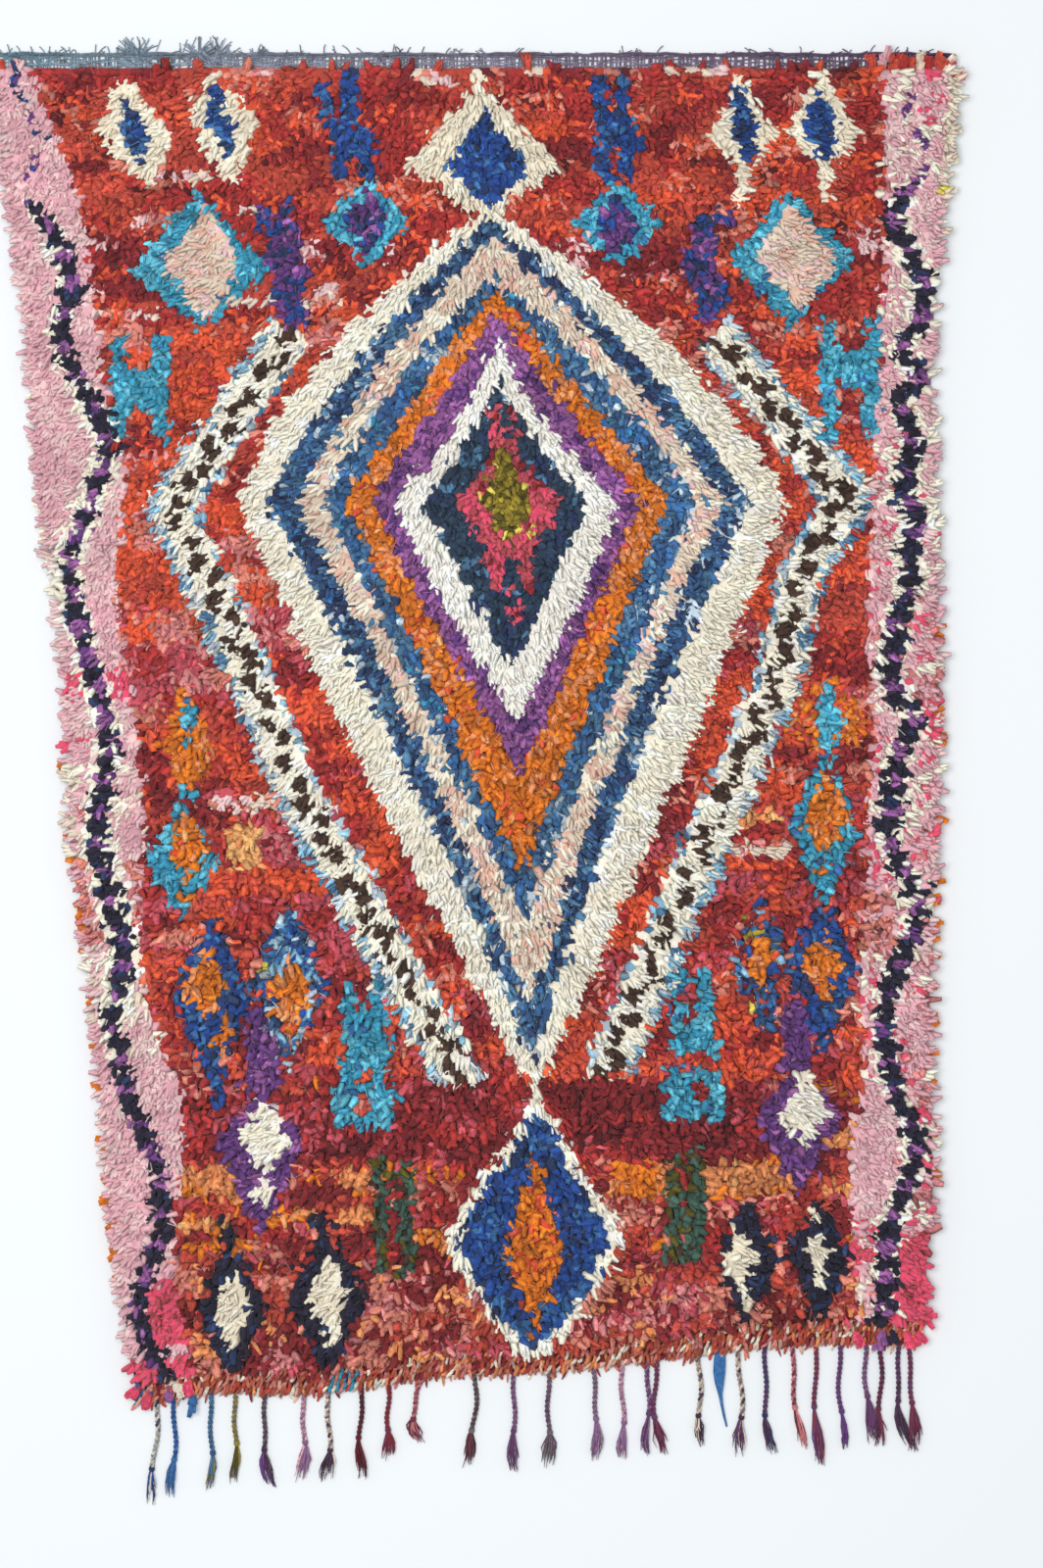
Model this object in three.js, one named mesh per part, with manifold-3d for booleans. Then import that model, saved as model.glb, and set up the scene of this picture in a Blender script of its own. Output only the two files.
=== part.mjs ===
import * as THREE from 'three';
import Module from 'manifold-3d';

// A knotted rag-pile rug lying face up on the floor.
// Millimetres. +X runs across the rug, +Y towards its bare woven end, +Z up out of the pile.
// The origin is on the floor, under the middle of the rug's whole reach.

// Overall reach, and the clearance between neighbouring pieces
const HALF_WIDTH = 801;
const HALF_LENGTH = 1196;
const GAP = 0.3;

// Side edges of the pile, smooth through a few places from the fringed end to the bare end
const LEFT_EDGE = [
  { y: -1000, x: -556 },
  { y: -860, x: -578 },
  { y: -600, x: -607 },
  { y: -340, x: -629 },
  { y: -70, x: -664 },
  { y: 220, x: -676 },
  { y: 460, x: -712 },
  { y: 750, x: -738 },
  { y: 950, x: -768 },
  { y: 1156, x: -790 },
];
const RIGHT_EDGE = [
  { y: -900, x: 734 },
  { y: -730, x: 750 },
  { y: -520, x: 744 },
  { y: -270, x: 750 },
  { y: -40, x: 758 },
  { y: 240, x: 758 },
  { y: 460, x: 752 },
  { y: 680, x: 745 },
  { y: 840, x: 758 },
  { y: 1020, x: 776 },
  { y: 1156, x: 790 },
];

// Lower edge of the end band, which climbs to the right because the rug is uneven
const LOWER_EDGE = [
  { x: -560, y: -1034 },
  { x: -450, y: -1015 },
  { x: -260, y: -1014 },
  { x: -70, y: -988 },
  { x: 160, y: -976 },
  { x: 350, y: -953 },
  { x: 520, y: -935 },
  { x: 740, y: -932 },
];

// Pile: a lumpy slab of rag knots, highest at every second crossing of its rows and columns
const PILE = { columns: 34, rows: 48, top: 1156, height: 24, lump: 6.5, rim: 15, rimLump: 2, stray: 12 };

// Locks that stick out of the two side rims
const RIM_LOCK = { pitch: 44, root: 14, rootWidth: 20, tipWidth: 9, rootHeight: 12, tipHeight: 5 };
const RIM_LOCK_REACH = { least: 8, most: 20, slant: 12, limit: HALF_WIDTH - 4 };

// Heading: a thin open-woven strip, its slits standing between the warp threads
const HEADING = { width: 28, thick: 3, slitPitch: 16, slitWidth: 8, slitLength: 20, uneven: 3, endBar: 14 };
const WISP = { count: 18, width: 5, least: 3, most: HALF_LENGTH - PILE.top - HEADING.width };

// End band: a twined rag rope with slanting turns
const BAND = { width: 36, height: 19, dip: 6, waist: 8, crests: [0.3, 0.7] };

// Fringe: braided warp ends on one narrow strip
const BACKING = { width: 6, height: 5 };
const BRAID = { width: 8, height: 7, tipWidth: 5, tipHeight: 4, tasselHeight: 10, crest: 0.55 };

// Where each strand starts across the rug, where its tip lies, how far the tip swings aside,
// how far its middle bends aside, and how wide its loose tassel is
const STRANDS = [
  { x: -521, tip: -1195.6, swing: -13, bend: 0, tassel: 14 },
  { x: -494, tip: -1186, swing: -5, bend: 2, tassel: 14 },
  { x: -433, tip: -1171, swing: -2, bend: 2, tassel: 12 },
  { x: -393, tip: -1160, swing: -2, bend: 1, tassel: 14 },
  { x: -343, tip: -1168, swing: 11, bend: -6, tassel: 20 },
  { x: -281, tip: -1158, swing: -3, bend: 1, tassel: 22 },
  { x: -241, tip: -1158, swing: 0, bend: 1, tassel: 24 },
  { x: -186, tip: -1152, swing: 0, bend: -2, tassel: 18 },
  { x: -142, tip: -1123, swing: -3, bend: 1, tassel: 20 },
  { x: -86, tip: -1093, swing: -3, bend: -15, tassel: 20 },
  { x: -2, tip: -1136, swing: -16, bend: 5, tassel: 18 },
  { x: 63, tip: -1141, swing: 2, bend: -1, tassel: 18 },
  { x: 121, tip: -1136, swing: -2, bend: 0, tassel: 21 },
  { x: 193, tip: -1125, swing: 0, bend: 6, tassel: 18 },
  { x: 241, tip: -1120, swing: 3, bend: -1, tassel: 14 },
  { x: 282, tip: -1114, swing: -2, bend: 1, tassel: 12 },
  { x: 298, tip: -1114, swing: 8, bend: -5, tassel: 18 },
  { x: 364, tip: -1101, swing: 3, bend: 4, tassel: 14 },
  { x: 402, tip: -1066, swing: 10, bend: -4, tassel: 8 },
  { x: 430, tip: -1117, swing: 5, bend: 4, tassel: 18 },
  { x: 474, tip: -1112, swing: 11, bend: -1, tassel: 16 },
  { x: 519, tip: -1104, swing: 18, bend: 1, tassel: 13 },
  { x: 558, tip: -1131, swing: 5, bend: -1, tassel: 16 },
  { x: 598, tip: -1104, swing: 8, bend: -2, tassel: 10 },
  { x: 641, tip: -1098, swing: 14, bend: -3, tassel: 17 },
  { x: 662, tip: -1098, swing: -3, bend: 3, tassel: 17 },
  { x: 695, tip: -1107, swing: 22, bend: -8, tassel: 19 },
  { x: 709, tip: -1107, swing: 10, bend: 5, tassel: 19 },
];

const { lerp, clamp } = THREE.MathUtils;

// A repeatable scatter value between 0 and 1 for a whole number
function scatter(n) {
  const wave = Math.sin(n * 12.9898 + 4.1414) * 43758.5453;
  return wave - Math.floor(wave);
}

// One column of a table, read smoothly along another whose rows climb
function smooth(rows, key, value, at) {
  const last = rows.length - 1;
  let i = 0;
  while (i < last - 1 && at > rows[i + 1][key]) {
    i += 1;
  }
  const slope = (a, b) => (rows[b][value] - rows[a][value]) / (rows[b][key] - rows[a][key]);
  const span = rows[i + 1][key] - rows[i][key];
  const t = clamp((at - rows[i][key]) / span, 0, 1);
  const startPull = slope(Math.max(i - 1, 0), i + 1) * span;
  const endPull = slope(i, Math.min(i + 2, last)) * span;
  const ease = t * t * (3 - 2 * t);
  const lean = startPull * t * (1 - t) * (1 - t) - endPull * t * t * (1 - t);
  return lerp(rows[i][value], rows[i + 1][value], ease) + lean;
}

// The lower edge, straight from one column of the pile to the next
const LOWER_LEFT = LEFT_EDGE[0].x;
const LOWER_RIGHT = RIGHT_EDGE[0].x;
const lowerX = (column) => lerp(LOWER_LEFT, LOWER_RIGHT, column / PILE.columns);

function lowerEdge(x) {
  const column = ((x - LOWER_LEFT) / (LOWER_RIGHT - LOWER_LEFT)) * PILE.columns;
  const start = clamp(Math.floor(column), 0, PILE.columns - 1);
  const heightAt = (i) => smooth(LOWER_EDGE, 'x', 'y', lowerX(i));
  return lerp(heightAt(start), heightAt(start + 1), column - start);
}

const pileBottom = (x) => lowerEdge(x) + BAND.width + GAP;

// An indexed geometry from points and triangles
function meshOf(points, triangles) {
  const geometry = new THREE.BufferGeometry();
  geometry.setAttribute('position', new THREE.Float32BufferAttribute(points.flat(), 3));
  geometry.setIndex(triangles.flat());
  geometry.computeVertexNormals();
  return geometry;
}

// A closed loft through rings of points; each ring runs anticlockwise seen from behind its start
function loft(rings) {
  const sides = rings[0].length;
  const triangles = [];
  for (let i = 0; i + 1 < rings.length; i += 1) {
    for (let k = 0; k < sides; k += 1) {
      const a = i * sides + k;
      const b = i * sides + ((k + 1) % sides);
      triangles.push([a, a + sides, b + sides], [a, b + sides, b]);
    }
  }
  const end = (rings.length - 1) * sides;
  for (let k = 1; k + 1 < sides; k += 1) {
    triangles.push([0, k, k + 1], [end, end + k + 1, end + k]);
  }
  return meshOf(rings.flat(), triangles);
}

// A four-sided strand lying level on the floor through { x, y, width, height } sections
function strand(sections) {
  const last = sections.length - 1;
  const rings = sections.map((section, i) => {
    const before = sections[Math.max(i - 1, 0)];
    const after = sections[Math.min(i + 1, last)];
    const run = new THREE.Vector2(after.x - before.x, after.y - before.y).normalize();
    const corner = (share, z) => {
      const aside = (share * section.width) / 2;
      return [section.x - run.y * aside, section.y + run.x * aside, z];
    };
    const { height } = section;
    return [corner(1, 0), corner(-1, 0), corner(-BRAID.crest, height), corner(BRAID.crest, height)];
  });
  return loft(rings);
}

// Joining closed geometries into one solid
const wasm = await Module();
wasm.setup();

function toSolid(geometry) {
  const vertProperties = geometry.getAttribute('position').array;
  const triVerts = Uint32Array.from(geometry.getIndex().array);
  return new wasm.Manifold(new wasm.Mesh({ numProp: 3, vertProperties, triVerts }));
}

function join(geometries) {
  const [first, ...others] = geometries.map(toSolid);
  const mesh = others.reduce((whole, piece) => whole.add(piece), first).getMesh();
  const geometry = new THREE.BufferGeometry();
  geometry.setAttribute('position', new THREE.BufferAttribute(mesh.vertProperties, 3));
  geometry.setIndex(new THREE.BufferAttribute(mesh.triVerts, 1));
  geometry.computeVertexNormals();
  return geometry;
}

// A place on the pile: across from 0 at the left rim to 1, up from 0 at the end band to 1
function pilePlace(across, up) {
  const leftBottom = LEFT_EDGE[0].y;
  const rightBottom = RIGHT_EDGE[0].y;
  const left = smooth(LEFT_EDGE, 'y', 'x', lerp(leftBottom, PILE.top, up));
  const right = smooth(RIGHT_EDGE, 'y', 'x', lerp(rightBottom, PILE.top, up));
  const x = lerp(left, right, across);
  return { x, y: lerp(pileBottom(x), PILE.top, up) };
}

// The slab: a lumpy top over a flat underside, with a lower rim all round
function pileSlab() {
  const { columns, rows } = PILE;
  const points = [];
  const triangles = [];
  const onRim = (i, j) => i === 0 || j === 0 || i === columns || j === rows;
  for (let j = 0; j <= rows; j += 1) {
    for (let i = 0; i <= columns; i += 1) {
      const chance = scatter(j * (columns + 1) + i);
      const place = pilePlace(i / columns, j / rows);
      const swell = (i + j) % 2 === 0 ? PILE.lump : -PILE.lump;
      const rim = onRim(i, j);
      const stray = rim ? 0 : (chance - 0.5) * PILE.stray;
      const z = rim ? PILE.rim + Math.sign(swell) * PILE.rimLump : PILE.height + swell * (0.5 + chance);
      points.push([place.x + stray, place.y - stray, z]);
    }
  }
  const topAt = (i, j) => j * (columns + 1) + i;
  for (let j = 0; j < rows; j += 1) {
    for (let i = 0; i < columns; i += 1) {
      const [a, b] = [topAt(i, j), topAt(i + 1, j)];
      const [c, d] = [topAt(i + 1, j + 1), topAt(i, j + 1)];
      triangles.push([a, b, c], [a, c, d]);
    }
  }
  const loop = [];
  for (let i = 0; i < columns; i += 1) {
    loop.push(topAt(i, 0));
  }
  for (let j = 0; j < rows; j += 1) {
    loop.push(topAt(columns, j));
  }
  for (let i = columns; i > 0; i -= 1) {
    loop.push(topAt(i, rows));
  }
  for (let j = rows; j > 0; j -= 1) {
    loop.push(topAt(0, j));
  }
  const floor = points.length;
  const outline = loop.map((index) => new THREE.Vector2(points[index][0], points[index][1]));
  outline.forEach((corner) => points.push([corner.x, corner.y, 0]));
  loop.forEach((index, k) => {
    const next = (k + 1) % loop.length;
    triangles.push([index, floor + k, floor + next], [index, floor + next, loop[next]]);
  });
  THREE.ShapeUtils.triangulateShape(outline, []).forEach(([a, b, c]) => {
    triangles.push([floor + a, floor + c, floor + b]);
  });
  return meshOf(points, triangles);
}

// Locks along one side rim, pointing out of it by differing amounts
function rimLocks(edge, outward) {
  const low = edge[0].y;
  const count = Math.floor((PILE.top - low) / RIM_LOCK.pitch);
  return Array.from({ length: count }, (_, k) => {
    const chance = scatter(k * 7 + (outward > 0 ? 900 : 300));
    const y = low + (k + 0.5) * RIM_LOCK.pitch;
    const x = smooth(edge, 'y', 'x', y);
    const reach = lerp(RIM_LOCK_REACH.least, RIM_LOCK_REACH.most, chance);
    const tip = clamp(x + outward * reach, -RIM_LOCK_REACH.limit, RIM_LOCK_REACH.limit);
    const drop = (scatter(k * 5 + 60) - 0.7) * RIM_LOCK_REACH.slant;
    return strand([
      { x: x - outward * RIM_LOCK.root, y, width: RIM_LOCK.rootWidth, height: RIM_LOCK.rootHeight },
      { x: tip, y: y + drop, width: RIM_LOCK.tipWidth, height: RIM_LOCK.tipHeight },
    ]);
  });
}

function pile() {
  return join([pileSlab(), ...rimLocks(LEFT_EDGE, -1), ...rimLocks(RIGHT_EDGE, 1)]);
}

// The bare woven end: a strip with a row of slits, its free edge frayed into wisps
function heading() {
  const low = PILE.top + GAP;
  const high = PILE.top + HEADING.width;
  const outline = new THREE.Shape();
  outline.moveTo(-HALF_WIDTH, low);
  outline.lineTo(HALF_WIDTH, low);
  outline.lineTo(HALF_WIDTH, high);
  const pitch = (2 * HALF_WIDTH) / WISP.count;
  for (let k = 0; k < WISP.count; k += 1) {
    const x = HALF_WIDTH - (k + 0.2 + 0.6 * scatter(k + 31)) * pitch;
    const reach = k === 0 ? WISP.most : lerp(WISP.least, WISP.most, scatter(k + 77));
    outline.lineTo(x + WISP.width, high);
    outline.lineTo(x, high + reach);
    outline.lineTo(x - WISP.width, high);
  }
  outline.lineTo(-HALF_WIDTH, high);
  outline.closePath();
  const run = 2 * (HALF_WIDTH - HEADING.endBar);
  const count = Math.floor(run / HEADING.slitPitch);
  const middle = (low + high) / 2;
  for (let k = 0; k < count; k += 1) {
    const x = -run / 2 + (k + 0.5) * (run / count);
    const halfWidth = HEADING.slitWidth / 2;
    const corner = (share, n) => share * (HEADING.slitLength / 2 - HEADING.uneven * scatter(k * 4 + n));
    const slit = new THREE.Path();
    slit.moveTo(x - halfWidth, middle + corner(-1, 0));
    slit.lineTo(x - halfWidth, middle + corner(1, 1));
    slit.lineTo(x + halfWidth, middle + corner(1, 2));
    slit.lineTo(x + halfWidth, middle + corner(-1, 3));
    slit.closePath();
    outline.holes.push(slit);
  }
  return new THREE.ExtrudeGeometry(outline, { depth: HEADING.thick, bevelEnabled: false });
}

// The twined band: two crests that rise in turn, so its turns slant across it
function endBand() {
  const rings = [];
  for (let half = 0; half <= 2 * PILE.columns; half += 1) {
    const x = lowerX(half / 2);
    const low = lowerEdge(x);
    const high = low + BAND.width;
    const [front, back] = BAND.crests.map((share, k) => {
      const dip = (half + k) % 2 === 0 ? 0 : BAND.dip;
      return [x, lerp(low, high, share), BAND.height - dip];
    });
    rings.push([[x, high, 0], [x, low, 0], [x, low, BAND.waist], front, back, [x, high, BAND.waist]]);
  }
  return loft(rings);
}

// The strip that holds the fringe, just under the end band
function backing() {
  const rings = [];
  for (let column = 0; column <= PILE.columns; column += 1) {
    const x = lowerX(column);
    const high = lowerEdge(x) - GAP;
    const low = high - BACKING.width;
    const crown = BACKING.height;
    rings.push([[x, high, 0], [x, low, 0], [x, low, crown], [x, high, crown]]);
  }
  return loft(rings);
}

// One warp end: a braid that runs into a wider loose tassel and thins out at its tip
function warpEnd({ x, tip, swing, bend, tassel }) {
  const root = lowerEdge(x) - GAP - BACKING.width * 0.6;
  const at = (share, width, height) => ({
    x: x + swing * share * share + bend * Math.sin(Math.PI * share),
    y: lerp(root, tip, share),
    width,
    height,
  });
  return strand([
    at(0, BRAID.width, BRAID.height),
    at(0.3, BRAID.width, BRAID.height),
    at(0.6, BRAID.width, BRAID.height),
    at(0.78, tassel, BRAID.tasselHeight),
    at(1, BRAID.tipWidth, BRAID.tipHeight),
  ]);
}

function fringe() {
  return join([backing(), ...STRANDS.map(warpEnd)]);
}

function cloth(name, geometry, colour) {
  const material = new THREE.MeshStandardMaterial({ color: colour, roughness: 0.95, metalness: 0 });
  const mesh = new THREE.Mesh(geometry, material);
  mesh.name = name;
  return mesh;
}

const rug = new THREE.Group();
rug.add(
  cloth('rug_pile', pile(), 0xb23a30),
  cloth('heading', heading(), 0x4a4468),
  cloth('end_band', endBand(), 0xc0634f),
  cloth('fringe', fringe(), 0x55274f),
);

export default rug;
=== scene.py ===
"""A boucherouite rug, laid flat with its knotted rag face up.

Every lock of the pile is its own strip or strand, with its own place, length and lean. Its colour
comes from the chart below, which gives the rug's motifs in centimetres: X runs to the right and Y
up the rug, from the middle of its floor. Sizes are in centimetres too, and angles in radians.
"""

import math

import bpy
import numpy as np
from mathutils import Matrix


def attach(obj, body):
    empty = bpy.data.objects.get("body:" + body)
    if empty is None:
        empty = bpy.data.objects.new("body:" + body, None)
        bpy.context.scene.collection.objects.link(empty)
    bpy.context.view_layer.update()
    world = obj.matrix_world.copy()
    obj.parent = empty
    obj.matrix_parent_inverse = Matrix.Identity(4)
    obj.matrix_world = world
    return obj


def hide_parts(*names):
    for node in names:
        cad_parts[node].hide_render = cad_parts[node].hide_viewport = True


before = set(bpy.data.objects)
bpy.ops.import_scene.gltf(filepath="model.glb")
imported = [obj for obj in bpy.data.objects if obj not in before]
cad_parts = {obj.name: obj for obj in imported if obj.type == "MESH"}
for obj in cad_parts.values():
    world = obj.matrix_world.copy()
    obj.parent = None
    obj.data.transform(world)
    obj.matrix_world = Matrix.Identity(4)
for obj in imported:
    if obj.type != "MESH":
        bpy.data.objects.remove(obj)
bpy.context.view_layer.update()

CM = 0.01
FAR = 200
chance = np.random.default_rng(41)

# Outline of the pile. Sides as (height on the rug, x), lower edge of the end band as (x, y).
LEFT_EDGE = (
    (-100, -55.6), (-86, -57.8), (-60, -60.7), (-34, -62.9), (-7, -66.4), (22, -67.6), (46, -71.2),
    (75, -73.8), (95, -76.8), (115.6, -79),
)
RIGHT_EDGE = (
    (-90, 73.4), (-73, 75), (-52, 74.4), (-27, 75), (-4, 75.8), (24, 75.8), (46, 75.2), (68, 74.5),
    (84, 75.8), (102, 77.6), (115.6, 79),
)
LOWER_EDGE = (
    (-56, -103.4), (-45, -101.5), (-26, -101.4), (-7, -98.8), (16, -97.6), (35, -95.3), (52, -93.5),
    (74, -93.2),
)
PILE_TOP = 115.6
BAND_WIDTH = 3.6

# Knots: the pitch of the rows and of the knots along a row, how far a knot strays, the lowest row, how
# far a lock lies below its knot, and the bare strips inside the rims and above the end band.
ROW_PITCH = 1.40
KNOT_PITCH = 1.42
STRAY = 0.3
LOWEST_ROW = -97.0
LAY = 1.1
RIM_INSET = 0.9
BAND_GAP = 1.1

# Rags: how far one runs along its two rows, its tone, and how many make up a row from its left end.
RAG_RUN = (2.5, 9.0)
RAG_TONE = (0.80, 1.18)
RAGS_IN_ROW = 80
RAGS_FROM = -85

# Lie of the pile: how far it turns to the sides, over what width, how far it wanders, and how far it
# turns out at a rim, from how near.
SIDE_TURN = 0.85
SIDE_WIDTH = 40
WANDER = 0.15
RIM_TURN = 0.9
RIM_REACH = 3.0

# Colours as seen on the rug, by the part of the pile they belong to and the yarn.
PALETTE = {
    ("red", "rag"): dict(
        brick=(198, 78, 62), crimson=(178, 54, 52), maroon=(140, 42, 47), wine=(110, 34, 40),
        flame=(234, 92, 57), salmon=(224, 136, 118), raspberry=(196, 82, 94), rose=(218, 134, 134),
    ),
    ("orange", "rag"): dict(
        apricot=(240, 152, 96), amber=(240, 176, 112), orange=(228, 124, 36), yellow=(230, 212, 90),
    ),
    ("cream", "wool"): dict(
        cream=(251, 242, 221), white=(255, 249, 238), oat=(243, 230, 205), beige=(230, 211, 190),
        peach=(232, 188, 168),
    ),
    ("pink", "curl"): dict(pink=(229, 174, 183), blush=(238, 200, 200), hotpink=(234, 80, 112)),
    ("dark", "rag"): dict(ink=(42, 38, 58), brown=(76, 54, 44), petrol=(48, 68, 90)),
    ("purple", "rag"): dict(purple=(160, 98, 162), violet=(108, 64, 130)),
    ("blue", "rag"): dict(
        royal=(40, 76, 148), cobalt=(62, 112, 168), denim=(58, 90, 134), navy=(46, 60, 98),
        slate=(84, 128, 164), pale=(190, 206, 218),
    ),
    ("teal", "rag"): dict(sky=(142, 190, 216), teal=(62, 156, 188), lagoon=(100, 190, 214)),
    ("green", "rag"): dict(olive=(158, 138, 44), moss=(94, 84, 28), green=(68, 98, 84)),
    ("fringe", "rag"): dict(
        plum=(108, 66, 108), mauve=(150, 110, 150), damson=(76, 50, 76), mulberry=(122, 50, 76),
        smoke=(116, 104, 108), rust=(182, 92, 70),
    ),
}

# What a motif or a stretch of the field is knotted from, as shares of its colours.
MIXES = {
    "field_top": dict(brick=4, crimson=4, maroon=2.2, flame=1.8, salmon=1, wine=0.5),
    "field_upper": dict(flame=4, brick=3, maroon=1, crimson=2, salmon=2.8, rose=1.4),
    "field_middle": dict(flame=2.5, brick=3, crimson=2, maroon=1.5, salmon=2, raspberry=2),
    "field_low": dict(raspberry=2, brick=2.6, flame=1.5, salmon=1.1, maroon=3, crimson=2),
    "dark_bed": dict(maroon=4.4, wine=1.8, crimson=2.4, raspberry=0.9),
    "field_bed": dict(brick=2.5, maroon=3, crimson=1.6, salmon=1.2, raspberry=1, orange=0.9),
    "field_foot": dict(salmon=3.4, brick=2.4, raspberry=1, rose=1.2, maroon=3, apricot=1.2),
    "flecked": dict(maroon=4, wine=2.4, crimson=2, rose=1, blush=0.5),
    "streak": dict(blush=2, beige=3, salmon=1.5, rose=1),
    "berry": dict(raspberry=4, crimson=1.6, rose=2, maroon=0.5),
    "apricot_row": dict(apricot=5, orange=3.4, amber=0.5),
    "salmon_rags": dict(salmon=2.8, rose=1.2, flame=2.6),
    "chain_edge": dict(pale=3, sky=2.4, cream=1.6, slate=1.2),
    "orange_mix": dict(orange=4, brick=2, apricot=1.2, flame=1),
    "cream": dict(cream=5, white=2),
    "white": dict(white=1),
    "oat": dict(oat=4, cream=1.4),
    "denim_ring": dict(denim=3.2, navy=2.3, slate=2.2, cobalt=0.9, pale=0.6),
    "beige_ring": dict(beige=4, peach=2, cream=2, slate=0.2, pale=0.4, blush=0.6),
    "blue_ring": dict(cobalt=2.6, slate=3, denim=2.4, teal=0.3, pale=0.6),
    "orange": dict(orange=5, apricot=1.9, flame=0.3),
    "deep_orange": dict(orange=6, flame=0.6, brick=0.2),
    "purple": dict(purple=5, violet=2),
    "grape": dict(violet=4, purple=1.5),
    "violet": dict(violet=1),
    "petrol": dict(petrol=5, navy=1.6, slate=0.6),
    "raspberry": dict(raspberry=5, hotpink=1.5, maroon=0.7),
    "olive": dict(olive=4, moss=3, yellow=0.8),
    "yellow": dict(yellow=1),
    "royal": dict(royal=5, cobalt=2, navy=1.6),
    "teal": dict(teal=5, lagoon=2.9, cobalt=0.35),
    "blush": dict(beige=4, peach=2, blush=2),
    "indigo": dict(violet=3.2, royal=1.8, navy=1, purple=0.8),
    "blue_mix": dict(cobalt=2, denim=2, sky=1.5, pale=1.2, royal=1, brick=0.8),
    "muddle": dict(cobalt=2, denim=2, sky=0.7, olive=0.8, royal=1, brick=2.4, maroon=1.4),
    "flame": dict(flame=3.4, brick=1.4, crimson=0.6),
    "brick": dict(brick=3, salmon=1),
    "amber": dict(amber=4, apricot=1),
    "green": dict(green=4, moss=1, brown=0.5),
    "wool_rim": dict(beige=2, cream=2, yellow=0.35),
    "ink": dict(ink=5, navy=0.8),
    "brown": dict(brown=1),
    "pink": dict(pink=5, blush=3),
    "pink_right": dict(pink=4, blush=2.2, cream=2, hotpink=0.35, rose=0.4),
    "pink_right_low": dict(pink=4.2, blush=1.2, cream=1, hotpink=1, rose=1.6),
    "bright_pink": dict(pink=4, hotpink=1.8, blush=1),
    "rosy": dict(hotpink=3.4, pink=3, blush=0.6),
    "pink_low": dict(pink=3.4, blush=2.6, beige=1.6, cream=1.2, rose=0.3),
    "rust_rags": dict(brick=4, maroon=2.6, flame=1.2, crimson=1.6),
    "hotpink": dict(hotpink=6, raspberry=1.6),
    "salmon": dict(salmon=3, rose=2, pink=1),
}

# Chances of a knot's colour: what its own chance adds to its rag's in the field, and the other way
# round in a motif.
OWN_SHARE = 0.16
RAG_SHARE = 0.5

# The red field, from the top down: its lower limit and its mix.
FIELD = (
    (74, "field_top"), (30, "field_upper"), (8, "field_middle"), (-50, "field_low"), (-80, "field_bed"),
    (-130, "field_foot"),
)

# The great lozenge: the top of its axis, how far the axis leans, the height of its side corners, and its
# rings: mix, left and right corner, top and bottom, and how far the sides bulge above and below the
# corners (0 is straight).
GREAT_TOP = (2.5, 92.3)
GREAT_LEAN = 0.05
GREAT_SIDE = 44.8
GREAT_RINGS = (
    ("cream", -38.6, 50.8, 92.8, -52.2, 0.58, 0.12),
    ("denim_ring", -34.2, 45, 91.2, -47, 0.32, -0.2),
    ("beige_ring", -29.2, 40.7, 88, -38, 0.26, -0.22),
    ("blue_ring", -24.8, 36.2, 81.8, -23.5, 0.36, 0),
    ("orange", -21.4, 31.8, 79.8, -16.5, 0.05, -0.05),
    ("purple", -17.2, 27.1, 76, -0.3, -0.1, 0),
    ("white", -12.8, 23.2, 71.6, 9.1, -0.42, 0.28),
    ("petrol", -8.6, 18.4, 65.2, 17.9, -0.4, 0.12),
    ("raspberry", -3.2, 14.6, 56, 28, -0.3, -0.3),
    ("olive", 1, 9.6, 54.4, 36.4, 0, 0),
)

# Zigzag chains beside the great lozenge, each a line through its corners: outer and inner limit of the
# pale edge and of the wool, and step, swing, half width and share of the brown zigzag.
CHAINS = (
    ((-29.5, 72.5), (-49.4, 43.8), (-41, 27), (-28.4, -3), (-1.5, -50.5)),
    ((38.5, 72.5), (60.6, 45.3), (53.2, 33.5), (48.8, 15), (21, -49)),
)
CHAIN_EDGE = (-4.3, 3.5)
CHAIN_WOOL = (-2.8, 2.5)
CHAIN_STEP = 3.6
CHAIN_SWING = 0.7
CHAIN_HALF = 1.1
CHAIN_KNOTTED = 0.78

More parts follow.
